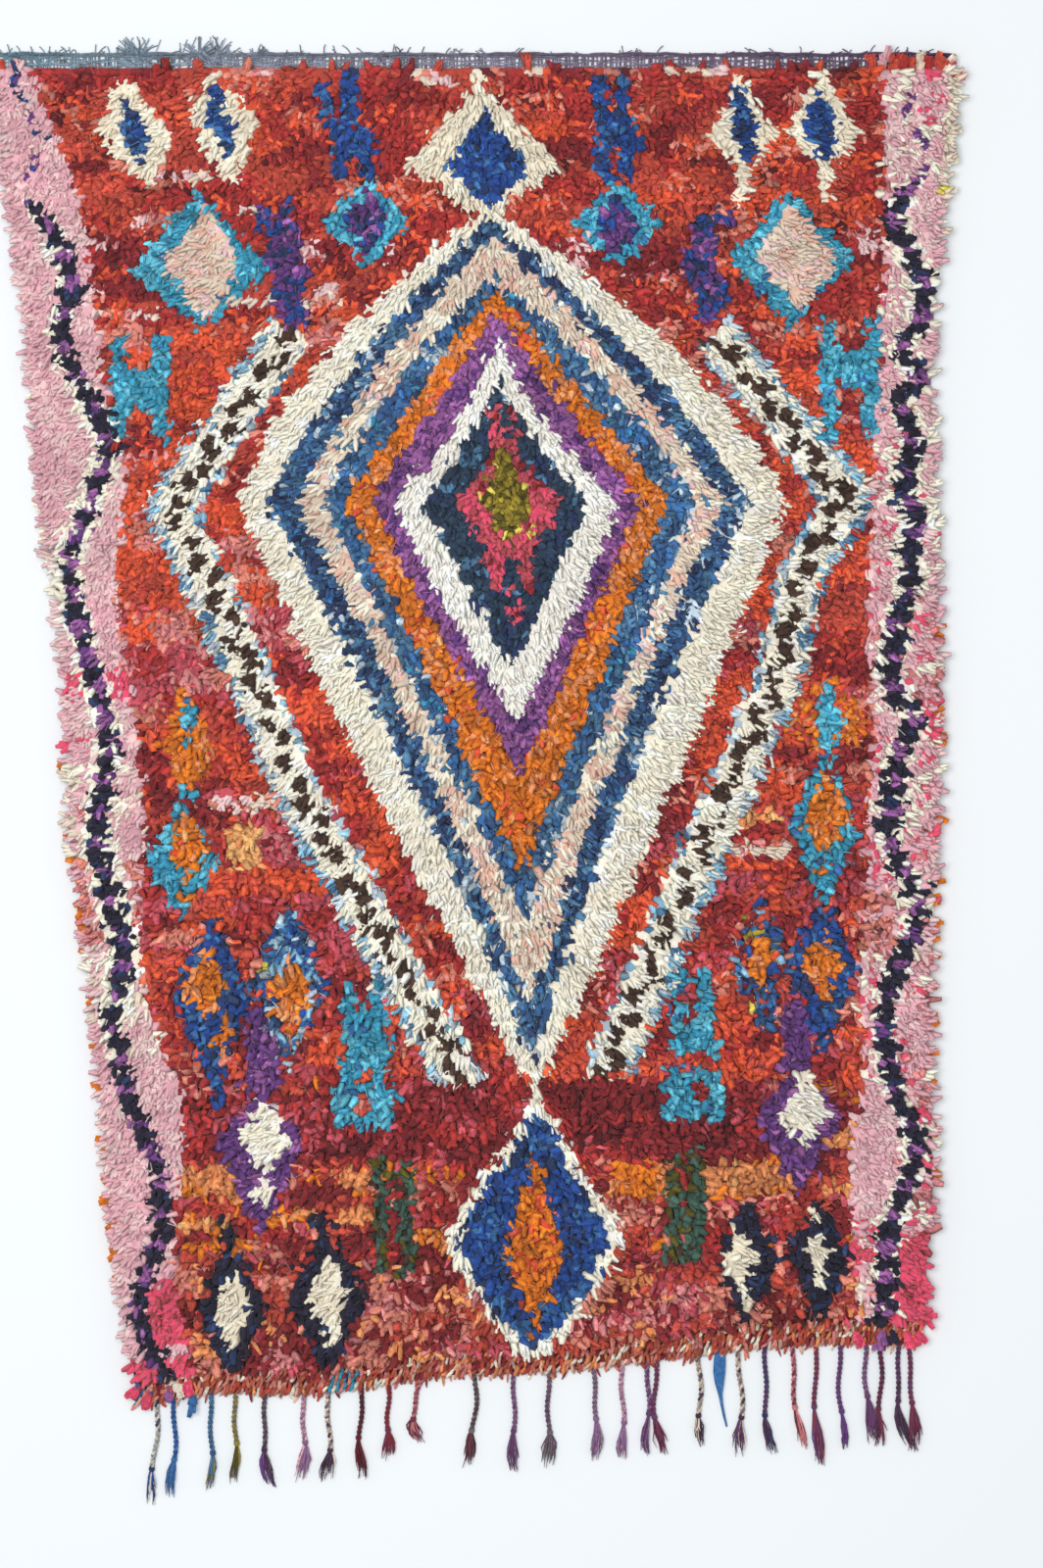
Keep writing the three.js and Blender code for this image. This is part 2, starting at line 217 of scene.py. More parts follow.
# Stretches of the field that are knotted from other rags: mix, then middle x and y, half width and
# half height of each. A later one covers an earlier one.
PATCHES = (
    ("streak", (-7, 113.9, 3.2, 0.9), (9.5, 114.5, 1.6, 0.7), (-34.5, 115, 2.2, 0.7),
     (36, 115.2, 5, 0.6), (-51.9, 90.6, 4.6, 0.6), (-56.1, 75.5, 5.1, 0.7), (-37, 77.6, 4.2, 0.7),
     (-37, 92.4, 2, 0.6), (-45.8, 97.8, 5.8, 0.7), (-26, 77.6, 4, 0.8), (-24, 79.4, 1.6, 1.1),
     (-36, -4.5, 7, 0.9), (46.3, -12.2, 5.4, 0.9)),
    ("flame", (-35, 106, 5, 4), (59.5, 93, 6, 1.8), (37, 94.8, 10, 0.9), (-45, 65, 6.5, 7.5),
     (-53, 32, 5, 4.5), (59.5, 54, 4.5, 3.6), (51.5, 47, 2.6, 4.5), (-25.5, 8, 6, 6), (-17, -9, 5, 9),
     (46, 31, 3.5, 3.5), (40, 8, 5, 8), (28, -24, 5, 4.5), (18, -44, 3.6, 4), (-40, 2.5, 5, 3.2),
     (-33.5, -17.5, 10.5, 2.2), (49.8, -2.5, 3.8, 1.2), (45.7, -14.6, 7.4, 1)),
    ("flecked", (-55.5, 85.5, 7.5, 2.6), (-55, 79.5, 7.5, 2), (-22, 85.6, 9, 2.4), (21, 85.6, 13, 2.8),
     (29, 84.5, 5, 3.2), (63.5, 86.5, 3, 3.5)),
    ("salmon_rags", (-51, 24, 6, 2.4), (-36, 31, 3.5, 3)),
    ("rust_rags", (60, 25, 5.5, 10)),
    ("berry", (-51, 17.5, 8, 4), (-33, 25, 4, 3), (-20, -8.5, 2.2, 2.6), (24.5, -34, 3.6, 4),
     (-32.5, -10, 6.5, 4.2), (-23, -25, 6, 6)),
    ("amber", (46.4, -7, 2.7, 1.3)),
    ("dark_bed", (-29, 17, 4, 2.8), (7, -57.2, 55, 5.2), (12, -56.4, 33.6, 6.6)),
    ("apricot_row", (-43.3, -66.5, 4.8, 2.9), (-44.3, -73.3, 3.8, 1.4), (-25.4, -72.2, 8.4, 1.2),
     (-20.1, -66.2, 3.1, 1.4), (-8, -75.3, 2.8, 1.5), (26.5, -66, 4.8, 2.9), (44.8, -66, 7.4, 2.9),
     (59.7, -59.3, 1.9, 1.6), (59.4, -67.7, 2.8, 1.2)),
)

# Bars of the combs, ladders and stems, in the same way.
BARS = (
    ("raspberry", (3.2, 56.8, 0.7, 3.4), (6.2, 56.8, 0.7, 3.4), (3.4, 34, 1, 4), (8.4, 34, 1, 4),
     (6.2, 26.2, 0.8, 1.6)),
    ("petrol", (5.9, 33.6, 1.5, 2)),
    ("royal", (-24.8, 110.2, 1.1, 2.6), (-20.6, 110.2, 1.4, 5.4), (-22, 106, 2.4, 0.9),
     (-19.8, 103.4, 3.6, 2.6), (-22.2, 99.6, 1.2, 2.4), (-17.4, 99.6, 1.3, 2.6),
     (20.4, 110.4, 1.2, 4.4), (24, 110.4, 1.1, 4.4), (23, 105, 3.2, 2.4), (26, 103.2, 1.6, 1.6),
     (21, 100.2, 1.4, 3), (25, 100.4, 1.5, 2.6), (0.9, 108.5, 0.9, 3.4), (-41.9, -50.5, 1, 3.8)),
    ("oat", (43.7, 96.5, 0.9, 3.2), (57.1, 97, 1, 3.4)),
    ("indigo", (-34.6, 91.5, 1.4, 1.8), (-31, 91.8, 1.2, 2), (-31.2, 86.5, 2.9, 3.8),
     (-29.8, 82, 3.2, 1.4), (-30.4, 78.3, 2.5, 2.6), (-29.4, 74.8, 1.7, 1.6), (36.8, 91.5, 1, 1.2),
     (41, 91.3, 1.4, 1.3), (37.3, 85.5, 1.9, 6), (36.2, 83.5, 2.4, 2.4), (38.9, 79, 2.4, 2.8),
     (38, 75.6, 1.2, 1.3)),
    ("amber", (-37.9, -11.7, 2.8, 3.5)),
    ("grape", (-34.8, -45, 2.8, 7), (52.8, -42.5, 2.4, 5.5)),
    ("flame", (42.3, -47.3, 3.7, 2.3), (36.7, -46.9, 2, 1.2)),
    ("teal", (-58.1, 63.7, 1.3, 8.3), (-51.4, 63.7, 1.3, 8.3), (-54.8, 63.2, 3.6, 3),
     (57.8, 65, 1.4, 10.2), (64.8, 65, 1.3, 10.2), (61.3, 66.5, 4.6, 3.3), (-20.4, -36.5, 1.2, 2.6),
     (-16.3, -36.5, 1.2, 2.6), (-18, -44.5, 3.8, 6.5), (-18.2, -54.2, 4.9, 3.3), (33.5, -34, 1.3, 3),
     (37.6, -34, 1.3, 3), (36, -41.4, 4, 4), (35.9, -52.1, 4.8, 4.1)),
    ("flame", (-17.6, -49.4, 1.2, 1.2)),
    ("brick", (-18.4, -53.8, 1.4, 0.9)),
    ("dark_bed", (35.5, -35.2, 1, 2.4), (35.2, -39.6, 0.9, 0.9), (37, -51.5, 1.1, 1.5)),
    ("green", (-15.4, -72, 1.2, 9.8), (-11.2, -72, 1.2, 9.4), (-13.3, -70.5, 2, 1.2),
     (32.6, -71, 1.3, 8.6), (36.2, -70.3, 1.4, 9.3), (34.4, -72, 1.5, 1.5), (34.4, -77.5, 2, 1.5)),
    ("ink", (-40, -76.5, 1.3, 4), (-25, -75, 1.5, 3.8)),
)

# Lozenges and hearts, each motif on lines of its own: mix, middle x and y, half width, height above and
# below the middle, how far the axis leans to the right on the way up, and how hollow the sides are above
# and below (1 is straight).
LOZENGES = (
    ("oat", -55.5, 105, 6.2, 10.3, 9.8, -0.27), ("royal", -55.7, 105.3, 2.9, 5.5, 5.6, -0.27),
    ("oat", -41.4, 107, 5.7, 8.4, 11.2, -0.2), ("royal", -41.6, 106.8, 2.3, 6.2, 6.5, -0.25),
    ("oat", 1.3, 99.5, 12.8, 16, 8.8, -0.05, 1.25), ("royal", 2, 99.5, 7.1, 10.5, 6.6, -0.05, 1.3),
    ("oat", 43.8, 104.6, 5.7, 10.2, 6.6, 0, 1.2, 1.1),
    ("royal", 43.9, 105.8, 2.4, 8.6, 6.4, -0.17, 1, 0.9),
    ("oat", 57, 105, 6.4, 12, 6.6, -0.06, 1.3, 1.1),
    ("royal", 56.6, 105.6, 2.8, 8.2, 5.6, -0.12, 1, 0.9),
    ("teal", -45.2, 82.5, 11.6, 13.2, 9.6), ("blush", -44.4, 83, 6.7, 10.6, 8.2, 0, 1, 0.9),
    ("teal", 51.6, 84.4, 10.2, 11.8, 11.4), ("blush", 52.3, 84.8, 6.9, 8.8, 9, -0.1),
    ("teal", -18, 90.7, 7.3, 6.6, 6.4, 0, 0.8, 0.8), ("teal", -17.6, 85, 1.4, 3, 3.4),
    ("indigo", -17.6, 91, 3.7, 5.4, 6.2, 0, 0.9),
    ("teal", 23.1, 90.3, 7.4, 6.8, 6.6, 0, 0.85, 0.8), ("indigo", 23.1, 90.3, 3.6, 5.2, 6, 0, 0.9),
    ("yellow", 8.6, 40.1, 0.9, 1.1, 1.1),
    ("orange", -46.9, 5, 4.2, 10, 9.5, 0, 0.7, 0.7), ("teal", -46.9, 9, 1.2, 4.4, 4, 0, 0.6, 0.6),
    ("teal", -46.9, -2.5, 1.4, 2.4, 2.6),
    ("teal", -47.8, -13.8, 5.9, 10, 9.6, 0, 0.9, 0.9), ("orange", -46.8, -12, 3.4, 6.6, 5.6),
    ("orange", -46.9, -20.5, 1.3, 1.7, 1.7),
    ("royal", -43, -36.5, 6.2, 12.5, 16, 0, 0.65), ("orange", -44, -34.3, 4.1, 5.4, 5.6),
    ("orange", -41.2, -42.5, 1.1, 4.4, 4.4),
    ("blue_mix", -30.3, -34.5, 6.4, 13.5, 14, 0, 0.75),
    ("orange", -30, -35, 3.3, 5.6, 10.6, 0, 0.9, 1.1), ("yellow", -34.6, -31.4, 0.9, 1.2, 1.2),
    ("grape", -35, -60, 7.5, 9, 15), ("cream", -34.3, -59.5, 4.4, 6.8, 6.2),
    ("cream", -34.7, -68, 1.8, 3, 3.4),
    ("orange_mix", 57.7, 8.5, 7.3, 8, 6.4, 0, 1, 0.8), ("teal", 57.7, 7.5, 1.8, 9, 8.6, 0, 0.6, 0.6),
    ("teal", 57.2, -8.8, 6, 11.6, 12.4, 0, 0.9), ("orange", 57.3, -7.4, 4.2, 9, 5.4, 0, 1.2),
    ("orange", 56.8, -14.7, 1.3, 1.6, 1.6),
    ("royal", 57, -31, 5.8, 12, 15), ("orange", 57, -30.5, 3.5, 4.8, 7.4, 0, 1, 1.3),
    ("muddle", 46.9, -31, 5, 12, 11, 0, 0.7, 0.7), ("orange", 46.9, -30.5, 1.9, 5.2, 5.2, 0, 0.7, 0.7),
    ("yellow", 45.6, -37.5, 0.9, 1.2, 1.2),
    ("flame", 42.3, -41, 4, 4, 4, 0, 0.7, 0.7),
    ("grape", 53, -55.5, 7.3, 8, 13.5), ("cream", 53.9, -55, 3.8, 6.8, 6.4),
    ("cream", 9.8, -75.7, 14.8, 24, 19.2, 0.02, 1, 0.6),
    ("royal", 9.8, -75.7, 12.8, 21.6, 17.4, 0.02, 1, 0.6), ("deep_orange", 9.7, -78, 4.9, 16.8, 14),
    ("ink", -39.8, -87, 5.7, 9.5, 10.6, 0, 0.75, 0.7),
    ("oat", -39.6, -87.4, 2.7, 6.4, 5.8, 0, 0.7, 0.6),
    ("ink", -24.2, -85.5, 6.6, 12, 12.4, 0, 0.85, 0.85),
    ("oat", -23.7, -85.2, 3.2, 7.4, 8.6, 0, 0.9, 0.9),
    ("ink", 44.6, -79.5, 5.1, 10.5, 10.2, 0, 0.9, 0.9), ("oat", 43.4, -79.3, 3.2, 5.2, 4.8),
    ("oat", 44.2, -86.2, 1.3, 1.8, 1.8),
    ("ink", 56.2, -78.5, 5.1, 9.4, 11.2, 0, 0.9, 0.9), ("oat", 55.9, -77.5, 2.5, 3.2, 2.8),
    ("oat", 56.3, -81.5, 1, 2.8, 3.2, 0, 0.6, 0.6), ("oat", 55.8, -72, 1, 1.5, 1.5),
)

# Side borders: inner edges and the dark lines that wander down them, as (height on the rug, x).
LEFT_INNER = (
    (-100, -46), (-74, -49.3), (-58, -47.5), (-32, -54.6), (-5, -54.2), (33, -58.5), (48, -57.3),
    (67, -61), (97, -65.5), (116, -73),
)
RIGHT_INNER = (
    (-95, 64), (-73, 61.8), (-57, 61.8), (-47, 64), (-36, 62.3), (-23, 63.6), (-7, 64.1), (8, 65.2),
    (25, 64.1), (42, 64.6), (64, 66.2), (113, 66.8),
)
LEFT_LINE = (
    (-98.9, -50), (-88.6, -54.8), (-83.7, -54.2), (-70, -51), (-51.7, -56.4), (-37.3, -58.8),
    (-30, -57.7), (-24.6, -58.5), (-9.4, -61.8), (5, -59.6), (13, -61.2), (21, -63.4), (33.6, -66.4),
    (43.7, -63.2), (55.2, -60), (60, -62), (72, -67.6), (80.3, -66), (91.5, -70.6), (94, -72.8),
    (104.5, -70.8), (107.5, -72.4), (113, -75),
)
RIGHT_LINE = (
    (-91.8, 66.8), (-84.5, 66.8), (-71.8, 68.4), (-61.6, 72.2), (-52.5, 69.2), (-39.4, 66.8),
    (-31.7, 68.9), (-21.9, 72.7), (-11, 67.9), (1.9, 68.9), (10.1, 71.1), (12.8, 68.9), (21.1, 68.4),
    (33.4, 71.1), (37.1, 70.5), (42, 72.2), (46.7, 70), (55.5, 71.6), (61.6, 70), (65.9, 72.6),
    (69.1, 70), (73.9, 72.2), (80.6, 73.2), (91.5, 68.4), (101, 74), (109.3, 70.8), (113.8, 72.2),
)

# Stretches of the borders: mix, left and right limit, lower and upper limit. The hot corner also
# reaches into the field.
LEFT_BORDER = (
    ("pink", -FAR, FAR, -FAR, FAR), ("pink_low", -FAR, FAR, -FAR, 2), ("pink", -FAR, FAR, -FAR, -45),
    ("rosy", -68.1, -62.9, 13, 17), ("rosy", -59.9, -55.1, 12.8, 18), ("rosy", -68.6, -62.6, 3.4, 7.8),
    ("pink", -59, -55, -12.5, -6.5), ("hotpink", -53, FAR, -93, -82.6),
    ("hotpink", -FAR, FAR, -FAR, -95), ("salmon", -FAR, FAR, -27, -14),
)
RIGHT_BORDER = (
    ("pink_right", -FAR, FAR, -FAR, FAR), ("pink_right_low", -FAR, FAR, -FAR, 30),
    ("pink", 70.5, FAR, 84, 97.5), ("wool_rim", 76.2, FAR, 88, FAR),
    ("bright_pink", 72.5, 77, 106.5, FAR), ("salmon", 62, 69, -28, -18.6), ("pink", -FAR, 69, -72, -50),
)
HOT_CORNER = ((68.6, FAR, -92, -74.6), (61.5, 66.5, -79.5, -76), (60, 65, -FAR, -89))

# Border lines: half width of the cream edge and of the purple flecks, the length of the taper, where the
# thin tips of the two lines start, and where cream fills the right of the left line.
CREAM_HALF = 1.9
FLECK_HALF = 1.1
LINE_TAPER = 4
LEFT_TIP = 94
RIGHT_TIP = 98
CREAM_FILL = (0, 3.2, -40, -8)

# Yarns: locks a knot, and ranges of their width, ridge, height of the tip and reach along the lie; the
# spread of the lie, the fan between the locks of a knot, curl, roll and spacing of the roots; the turn
# out to the sides, and how much longer and taller every other row is; height of the mound below; width
# along a lock, and painted shade along it: painted shade at the root and painted light at the tip.
# Painted shade along a lock, root to tip: darker at the root where the pile shades it, lighter at the tip.
RAG_PAINTED_SHADE = (0.78, 0.94, 1.03, 1.08)
WOOL_PAINTED_SHADE = (0.92, 0.99, 1.02, 1.03)
WOOL_TAPER = (0.9, 1.1, 1.0, 0.5)
YARNS = {
    "jersey": dict(
        locks=2, width=(1.0, 1.8), ridge=(0.22, 0.48), tall=(1.6, 2.5), reach=(1.5, 2.9),
        spread=0.75, fan=0.6, curl=0.45, roll=0.5, root=0.30, comb=0, longer=0, taller=0, mound=1.7,
        taper=(0.75, 1.1, 1.05, 0.65), shade=RAG_PAINTED_SHADE,
    ),
    "tuft": dict(
        locks=2, width=(1.15, 1.8), ridge=(0.22, 0.40), tall=(1.9, 2.4), reach=(1.5, 2.6),
        spread=0.55, fan=0.6, curl=0.35, roll=0.45, root=0.30, comb=0, longer=0, taller=0, mound=2.1,
        taper=(0.9, 1.1, 1.0, 0.45), shade=RAG_PAINTED_SHADE,
    ),
    "wool": dict(
        locks=4, width=(0.75, 1.15), ridge=(0.14, 0.24), tall=(2.15, 2.4), reach=(2.0, 3.0),
        spread=0.22, fan=0.35, curl=0.25, roll=0.15, root=0.45, comb=0.35, longer=0.5, taller=0.3,
        mound=2.4, taper=WOOL_TAPER, shade=WOOL_PAINTED_SHADE,
    ),
    "curl": dict(
        locks=4, width=(0.8, 1.2), ridge=(0.15, 0.26), tall=(2.1, 2.45), reach=(1.6, 2.5),
        spread=0.35, fan=0.45, curl=0.32, roll=0.25, root=0.45, comb=0, longer=0, taller=0,
        mound=2.4, taper=WOOL_TAPER, shade=WOOL_PAINTED_SHADE,
    ),
}
LOCK_RINGS = 4
ROOT_HEIGHT = 0.2
COMB_WIDTH = 20

# Tones: how far one lock differs from the next, and how much of a rag's tone wool takes on.
LOCK_TONE = 0.17
WOOL_VARY = 0.35

# Jersey rags lie in the lower part of the rug and finer tufts above: the height of the change, and how
# far the two mingle.
TUFTS_FROM = 12
TUFTS_MINGLE = 14

# Loose threads: the share of woollen and of rag knots that have one.
WOOL_THREADS = 0.15
RAG_THREADS = 0.7

# Triangles in a lock, and the most that a piece of the pile may have.
LOCK_TRIANGLES = 19
PIECE_TRIANGLES = 195000

# Rag ends that stick out past the two rims: edge, side, colour and heights, how far inside the rim they
# start, and their lie in degrees. Each is a few strips.
RIM_RAGS = (
    (LEFT_EDGE, -1, "orange", (1, -9, -14, -22, -25, -30, -36, -44, -51, -60, -65, -69, -73, -77, -82)),
    (RIGHT_EDGE, 1, "orange", (24, 10, 6, -7, -17, -20, -24, -28, -34, -40, -46, -50, -58, -64)),
    (LEFT_EDGE, -1, "cream", range(63, 29, -4)),
    (RIGHT_EDGE, 1, "cream", range(113, 94, -4)),
)
RIM_START = 1.1
RIM_LIE = 83
RIM_STRIPS = 3

# Loose tufts at the corners: x, y of the root, lie in degrees (0 is down the rug, 90 to the right) and
# colour. Each is a few strips.
TUFTS = (
    (-55, -100, -20, "hotpink"), (-53.4, -101, 0, "hotpink"), (-50.4, -100.6, 10, "purple"),
    (-48.6, -99.4, 0, "cream"), (-47.2, -98.6, 15, "hotpink"), (-46.6, -102.2, 5, "cobalt"),
    (62.4, -91, 0, "hotpink"), (66.4, -91.2, 0, "purple"), (67.8, -91, 10, "ink"),
    (70.8, -91.4, 5, "hotpink"), (72.4, -90.6, 20, "hotpink"), (73.2, -88, 60, "hotpink"),
    (65.4, 115.6, 170, "brick"), (67, 115.8, 185, "pink"), (68.4, 115.6, 175, "brick"),
    (69.8, 115.8, 180, "crimson"), (71.2, 115.8, 190, "brick"), (72.6, 115.8, 175, "beige"),
    (74, 115.8, 180, "crimson"), (75.4, 115.8, 170, "brick"), (76.6, 115.4, 150, "beige"),
    (77.4, 114.6, 120, "hotpink"), (-77.4, 115, 190, "brick"), (-75, 115.4, 180, "pink"),
)
TUFT_STRIPS = 5

# Heading: half its length, the foot of its warps, their pitch and length, where its wisps start, and
# how many there are.
HEADING_HALF = 78.6
HEADING_FOOT = 115.2
WARP_PITCH = 0.58
WARP_LENGTH = 3.0
WISP_FOOT = 118.0
WISPS = 420

# Colours along the heading, from grey blue on the left to purple on the right: x, and linear light.
HEADING_SHADES = (
    (-80, 0.21, 0.36, 0.44), (-40, 0.30, 0.35, 0.44), (20, 0.26, 0.21, 0.31), (80, 0.13, 0.06, 0.14),
)

# Wefts of the heading: level, waver, width and tone.
WEFTS = (
    (115.7, 0.10, 0.42, 0.9), (116.4, 0.16, 0.24, 1.1), (116.9, 0.20, 0.22, 1.2), (117.4, 0.16, 0.24, 0.9),
    (117.9, 0.10, 0.30, 0.7), (118.2, 0.08, 0.44, 0.55), (118.4, 0.10, 0.30, 0.7),
)
WEFT_RINGS = 260

# Where the wisps of the heading gather: share, middle and spread.
WISP_CLUMPS = ((0.22, -56.0, 1.4), (0.24, -43.5, 2.4), (0.12, -34.0, 3.0), (0.14, -70.0, 4.5))

# End band: its left and right end, height and pitch of its rows of loops, colours, and how many tails.
BAND_ENDS = (-55.4, 73.4)
BAND_ROWS = ((0.8, 0.62), (1.8, 0.60), (2.8, 0.62), (3.7, 0.70))
BAND_SHADES = (
    "rust", "salmon", "rust", "brick", "maroon", "peach",
    "rust", "apricot", "salmon", "cream", "rose", "brick",
)
BAND_TAILS = 64

# Fringe strands: x, y of the tip, swing, bend, width of the tassel, colours of the two plies and of the
# tip. A braid has two plies, which wind round each other at the twist given, in radians a centimetre.
STRANDS = (
    (-52.1, -119.5, -1.3, 0, 1.4, "navy", "cream", "royal"),
    (-49.4, -118.6, -0.5, 0.2, 1.4, "cobalt", "royal", "cobalt"),
    (-43.3, -117.1, -0.2, 0.2, 1.2, "denim", "slate", "olive"),
    (-39.3, -116, -0.2, 0.1, 1.4, "olive", "smoke", "moss"),
    (-34.3, -116.8, 1.1, -0.6, 2, "damson", "smoke", "violet"),
    (-28.1, -115.8, -0.3, 0.1, 2.2, "mauve", "pink", "mauve"),
    (-24.1, -115.8, 0, 0.1, 2.4, "damson", "beige", "damson"),
    (-18.6, -115.2, 0, -0.2, 1.8, "wine", "ink", "wine"),
    (-14.2, -112.3, -0.3, 0.1, 2, "mulberry", "maroon", "mulberry"),
    (-8.6, -109.3, -0.3, -1.5, 2, "mulberry", "rose", "mulberry"),
    (-0.2, -113.6, -1.6, 0.5, 1.8, "smoke", "brown", "mulberry"),
    (6.3, -114.1, 0.2, -0.1, 1.8, "plum", "mauve", "plum"),
    (12.1, -113.6, -0.2, 0, 2.1, "smoke", "plum", "smoke"),
    (19.3, -112.5, 0, 0.6, 1.8, "mauve", "smoke", "mauve"),
    (24.1, -112, 0.3, -0.1, 1.4, "mauve", "pink", "mauve"),
    (28.2, -111.4, -0.2, 0.1, 1.2, "plum", "mauve", "plum"),
    (29.8, -111.4, 0.8, -0.5, 1.8, "plum", "mulberry", "mulberry"),
    (36.4, -110.1, 0.3, 0.4, 1.4, "damson", "beige", "damson"),
    (43, -111.7, 0.5, 0.4, 1.8, "damson", "beige", "plum"),
    (47.4, -111.2, 1.1, -0.1, 1.6, "navy", "plum", "damson"),
    (51.9, -110.4, 1.8, 0.1, 1.3, "rose", "mulberry", "rose"),
    (55.8, -113.1, 0.5, -0.1, 1.6, "plum", "maroon", "plum"),
    (59.8, -110.4, 0.8, -0.2, 1, "violet", "plum", "violet"),
    (64.1, -109.8, 1.4, -0.3, 1.7, "plum", "mauve", "plum"),
    (66.2, -109.8, -0.3, 0.3, 1.7, "mulberry", "damson", "mulberry"),
    (69.5, -110.7, 2.2, -0.8, 1.9, "damson", "plum", "damson"),
    (70.9, -110.7, 1, 0.5, 1.9, "mulberry", "plum", "mulberry"),
)
BRAID_RINGS = 72
BRAID_HALF = 0.20
BRAID_TWIST = 3.9
KNOT_LENGTH = 0.9
KNOT_WIDTHS = np.array([0.6, 0.9, 1.0, 1.0, 0.9, 0.6])
KNOT_RIDGES = np.array([0.25, 0.40, 0.46, 0.44, 0.40, 0.25])
TASSEL_HAIRS = 28

# The flat blue rag between two strands: x, y of its tip, and its widths on the way down.
FLAT_RAG = (40.2, -106.6)
FLAT_RAG_WIDTHS = np.array([1.6, 2.0, 2.0, 1.5, 0.7, 0.45, 0.4, 0.3])

# Woven ground: how far it lies inside the rims and reaches past the pile at its ends, its lowest level,
# its thickness, and its cells across and up.
GROUND_INSET = 0.6
GROUND_LAP = 0.4
GROUND_FOOT = -99
GROUND_THICK = 0.3
GROUND_CELLS = (40, 56)

# Directions, and the angles of the points round a strand that is folded like a tent.
ACROSS = np.array([1.0, 0, 0])
UPWARDS = np.array([0, 1.0, 0])
TENT = np.array([math.pi, math.pi / 2, 0])


def smooth(table, at):
    """A smooth curve through rows of (place, value), read at the places given."""
    places, values = np.array(table, float).T
    slopes = np.gradient(values, places)
    i = np.clip(np.searchsorted(places, at) - 1, 0, len(places) - 2)
    span = places[i + 1] - places[i]
    t = np.clip((at - places[i]) / span, 0, 1)
    ease = t * t * (3 - 2 * t)
    bow = span * t * (1 - t) * (slopes[i] * (1 - t) - slopes[i + 1] * t)
    return values[i] + (values[i + 1] - values[i]) * ease + bow


def join(x, y, z):
    """Points or directions from their x, y and z, each spread over the others."""
    return np.stack(np.broadcast_arrays(x, y, z), -1)


def rims(y, inset=0.0):
    """Left and right limit of the pile at a height on the rug, some way inside its rims."""
    return smooth(LEFT_EDGE, y) + inset, smooth(RIGHT_EDGE, y) - inset


def from_rim(x, y):
    """Distance to the nearer side rim."""
    left, right = rims(y)
    return np.minimum(x - left, right - x)


SEEN = {name: rgb for group in PALETTE.values() for name, rgb in group.items()}
NAMES = list(SEEN)


def linear(name):
    """A palette colour as linear light."""
    c = np.array(SEEN[name]) / 255
    return np.where(c > 0.04045, ((c + 0.055) / 1.055) ** 2.4, c / 12.92)


def tinted(names):
    """Tints of strands, one palette name each."""
    return np.array([linear(name) for name in names])


LINEAR = tinted(NAMES)
FAMILIES = np.array([family for (family, _), group in PALETTE.items() for _ in group])
TWISTS = np.array([twist for (_, twist), group in PALETTE.items() for _ in group])


def pick(mix, chances):
    """Palette numbers drawn from a mix, one for each chance from 0 to 1."""
    codes = np.array([NAMES.index(name) for name in MIXES[mix]])
    steps = np.cumsum(list(MIXES[mix].values()))
    found = np.searchsorted(steps / steps[-1], chances, side="right")
    return codes[np.minimum(found, len(codes) - 1)]


def between(x, y, left, right, low, high):
    return (x > left) & (x < right) & (y > low) & (y < high)


def inside(x, y, middle_x, middle_y, half, tall):
    return (np.abs(x - middle_x) < half) & (np.abs(y - middle_y) < tall)


def lozenge(x, y, middle_x, middle_y, half, up, down, tilt=0.0, hollow_up=1.0, hollow_down=1.0):
    above = y > middle_y
    away = np.where(above, (y - middle_y) / up, (middle_y - y) / down)
    left_over = np.clip(1 - away, 0, 1) ** np.where(above, hollow_up, hollow_down)
    return np.abs(x - middle_x - tilt * (y - middle_y)) < half * left_over


def great_ring(x, y, left, right, top, bottom, bulge_up, bulge_down):
    axis = GREAT_TOP[0] + (GREAT_TOP[1] - y) * GREAT_LEAN
    middle = GREAT_TOP[0] + (GREAT_TOP[1] - GREAT_SIDE) * GREAT_LEAN
    above = y > GREAT_SIDE
    left_over = np.where(above, (top - y) / (top - GREAT_SIDE), (y - bottom) / (GREAT_SIDE - bottom))
    left_over = np.clip(left_over, 0, 1)
    left_over = left_over + np.where(above, bulge_up, bulge_down) * left_over * (1 - left_over)
    half = np.where(x < axis, middle - left, right - middle)
    return np.abs(x - axis) < half * left_over


def along(x, y, corners):
    """Distance from a line through its corners, with a sign, and the way gone along it."""
    nearest = np.full(len(x), np.inf)
    offset, gone, length = np.zeros(len(x)), np.zeros(len(x)), 0.0
    for (ax, ay), (bx, by) in zip(corners, corners[1:]):
        run = math.hypot(bx - ax, by - ay)
        ux, uy = (bx - ax) / run, (by - ay) / run
        way = np.clip((x - ax) * ux + (y - ay) * uy, 0, run)
        apart = np.hypot(x - ax - way * ux, y - ay - way * uy)
        side = np.sign((x - ax) * uy - (y - ay) * ux)
        closer = apart < nearest
        nearest = np.where(closer, apart, nearest)
        offset = np.where(closer, apart * side, offset)
        gone = np.where(closer, length + way, gone)
        length += run
    return offset, gone


def chart(x, y, rag, own):
    """Palette number of every knot that shows at x, y. rag and own are chances from 0 to 1."""
    colour = np.zeros(len(x), int)
    rag_like = (rag + OWN_SHARE * own) % 1
    mixed = (RAG_SHARE * rag + own) % 1

    def paint(where, mix, chances=mixed):
        colour[where] = pick(mix, chances[where])

    ceiling = FAR
    for lower_limit, mix in FIELD:
        paint((y <= ceiling) & (y > lower_limit), mix, rag_like)
        ceiling = lower_limit
    for mix, *boxes in PATCHES:
        for box in boxes:
            paint(inside(x, y, *box), mix, rag_like)
    for mix, *ring in GREAT_RINGS:
        paint(great_ring(x, y, *ring), mix)
    for corners in CHAINS:
        paint_chain(x, y, corners, paint)
    for mix, *boxes in BARS:
        for box in boxes:
            paint(inside(x, y, *box), mix)
    for mix, *shape in LOZENGES:
        paint(lozenge(x, y, *shape), mix)
    paint_borders(x, y, paint)
    return colour


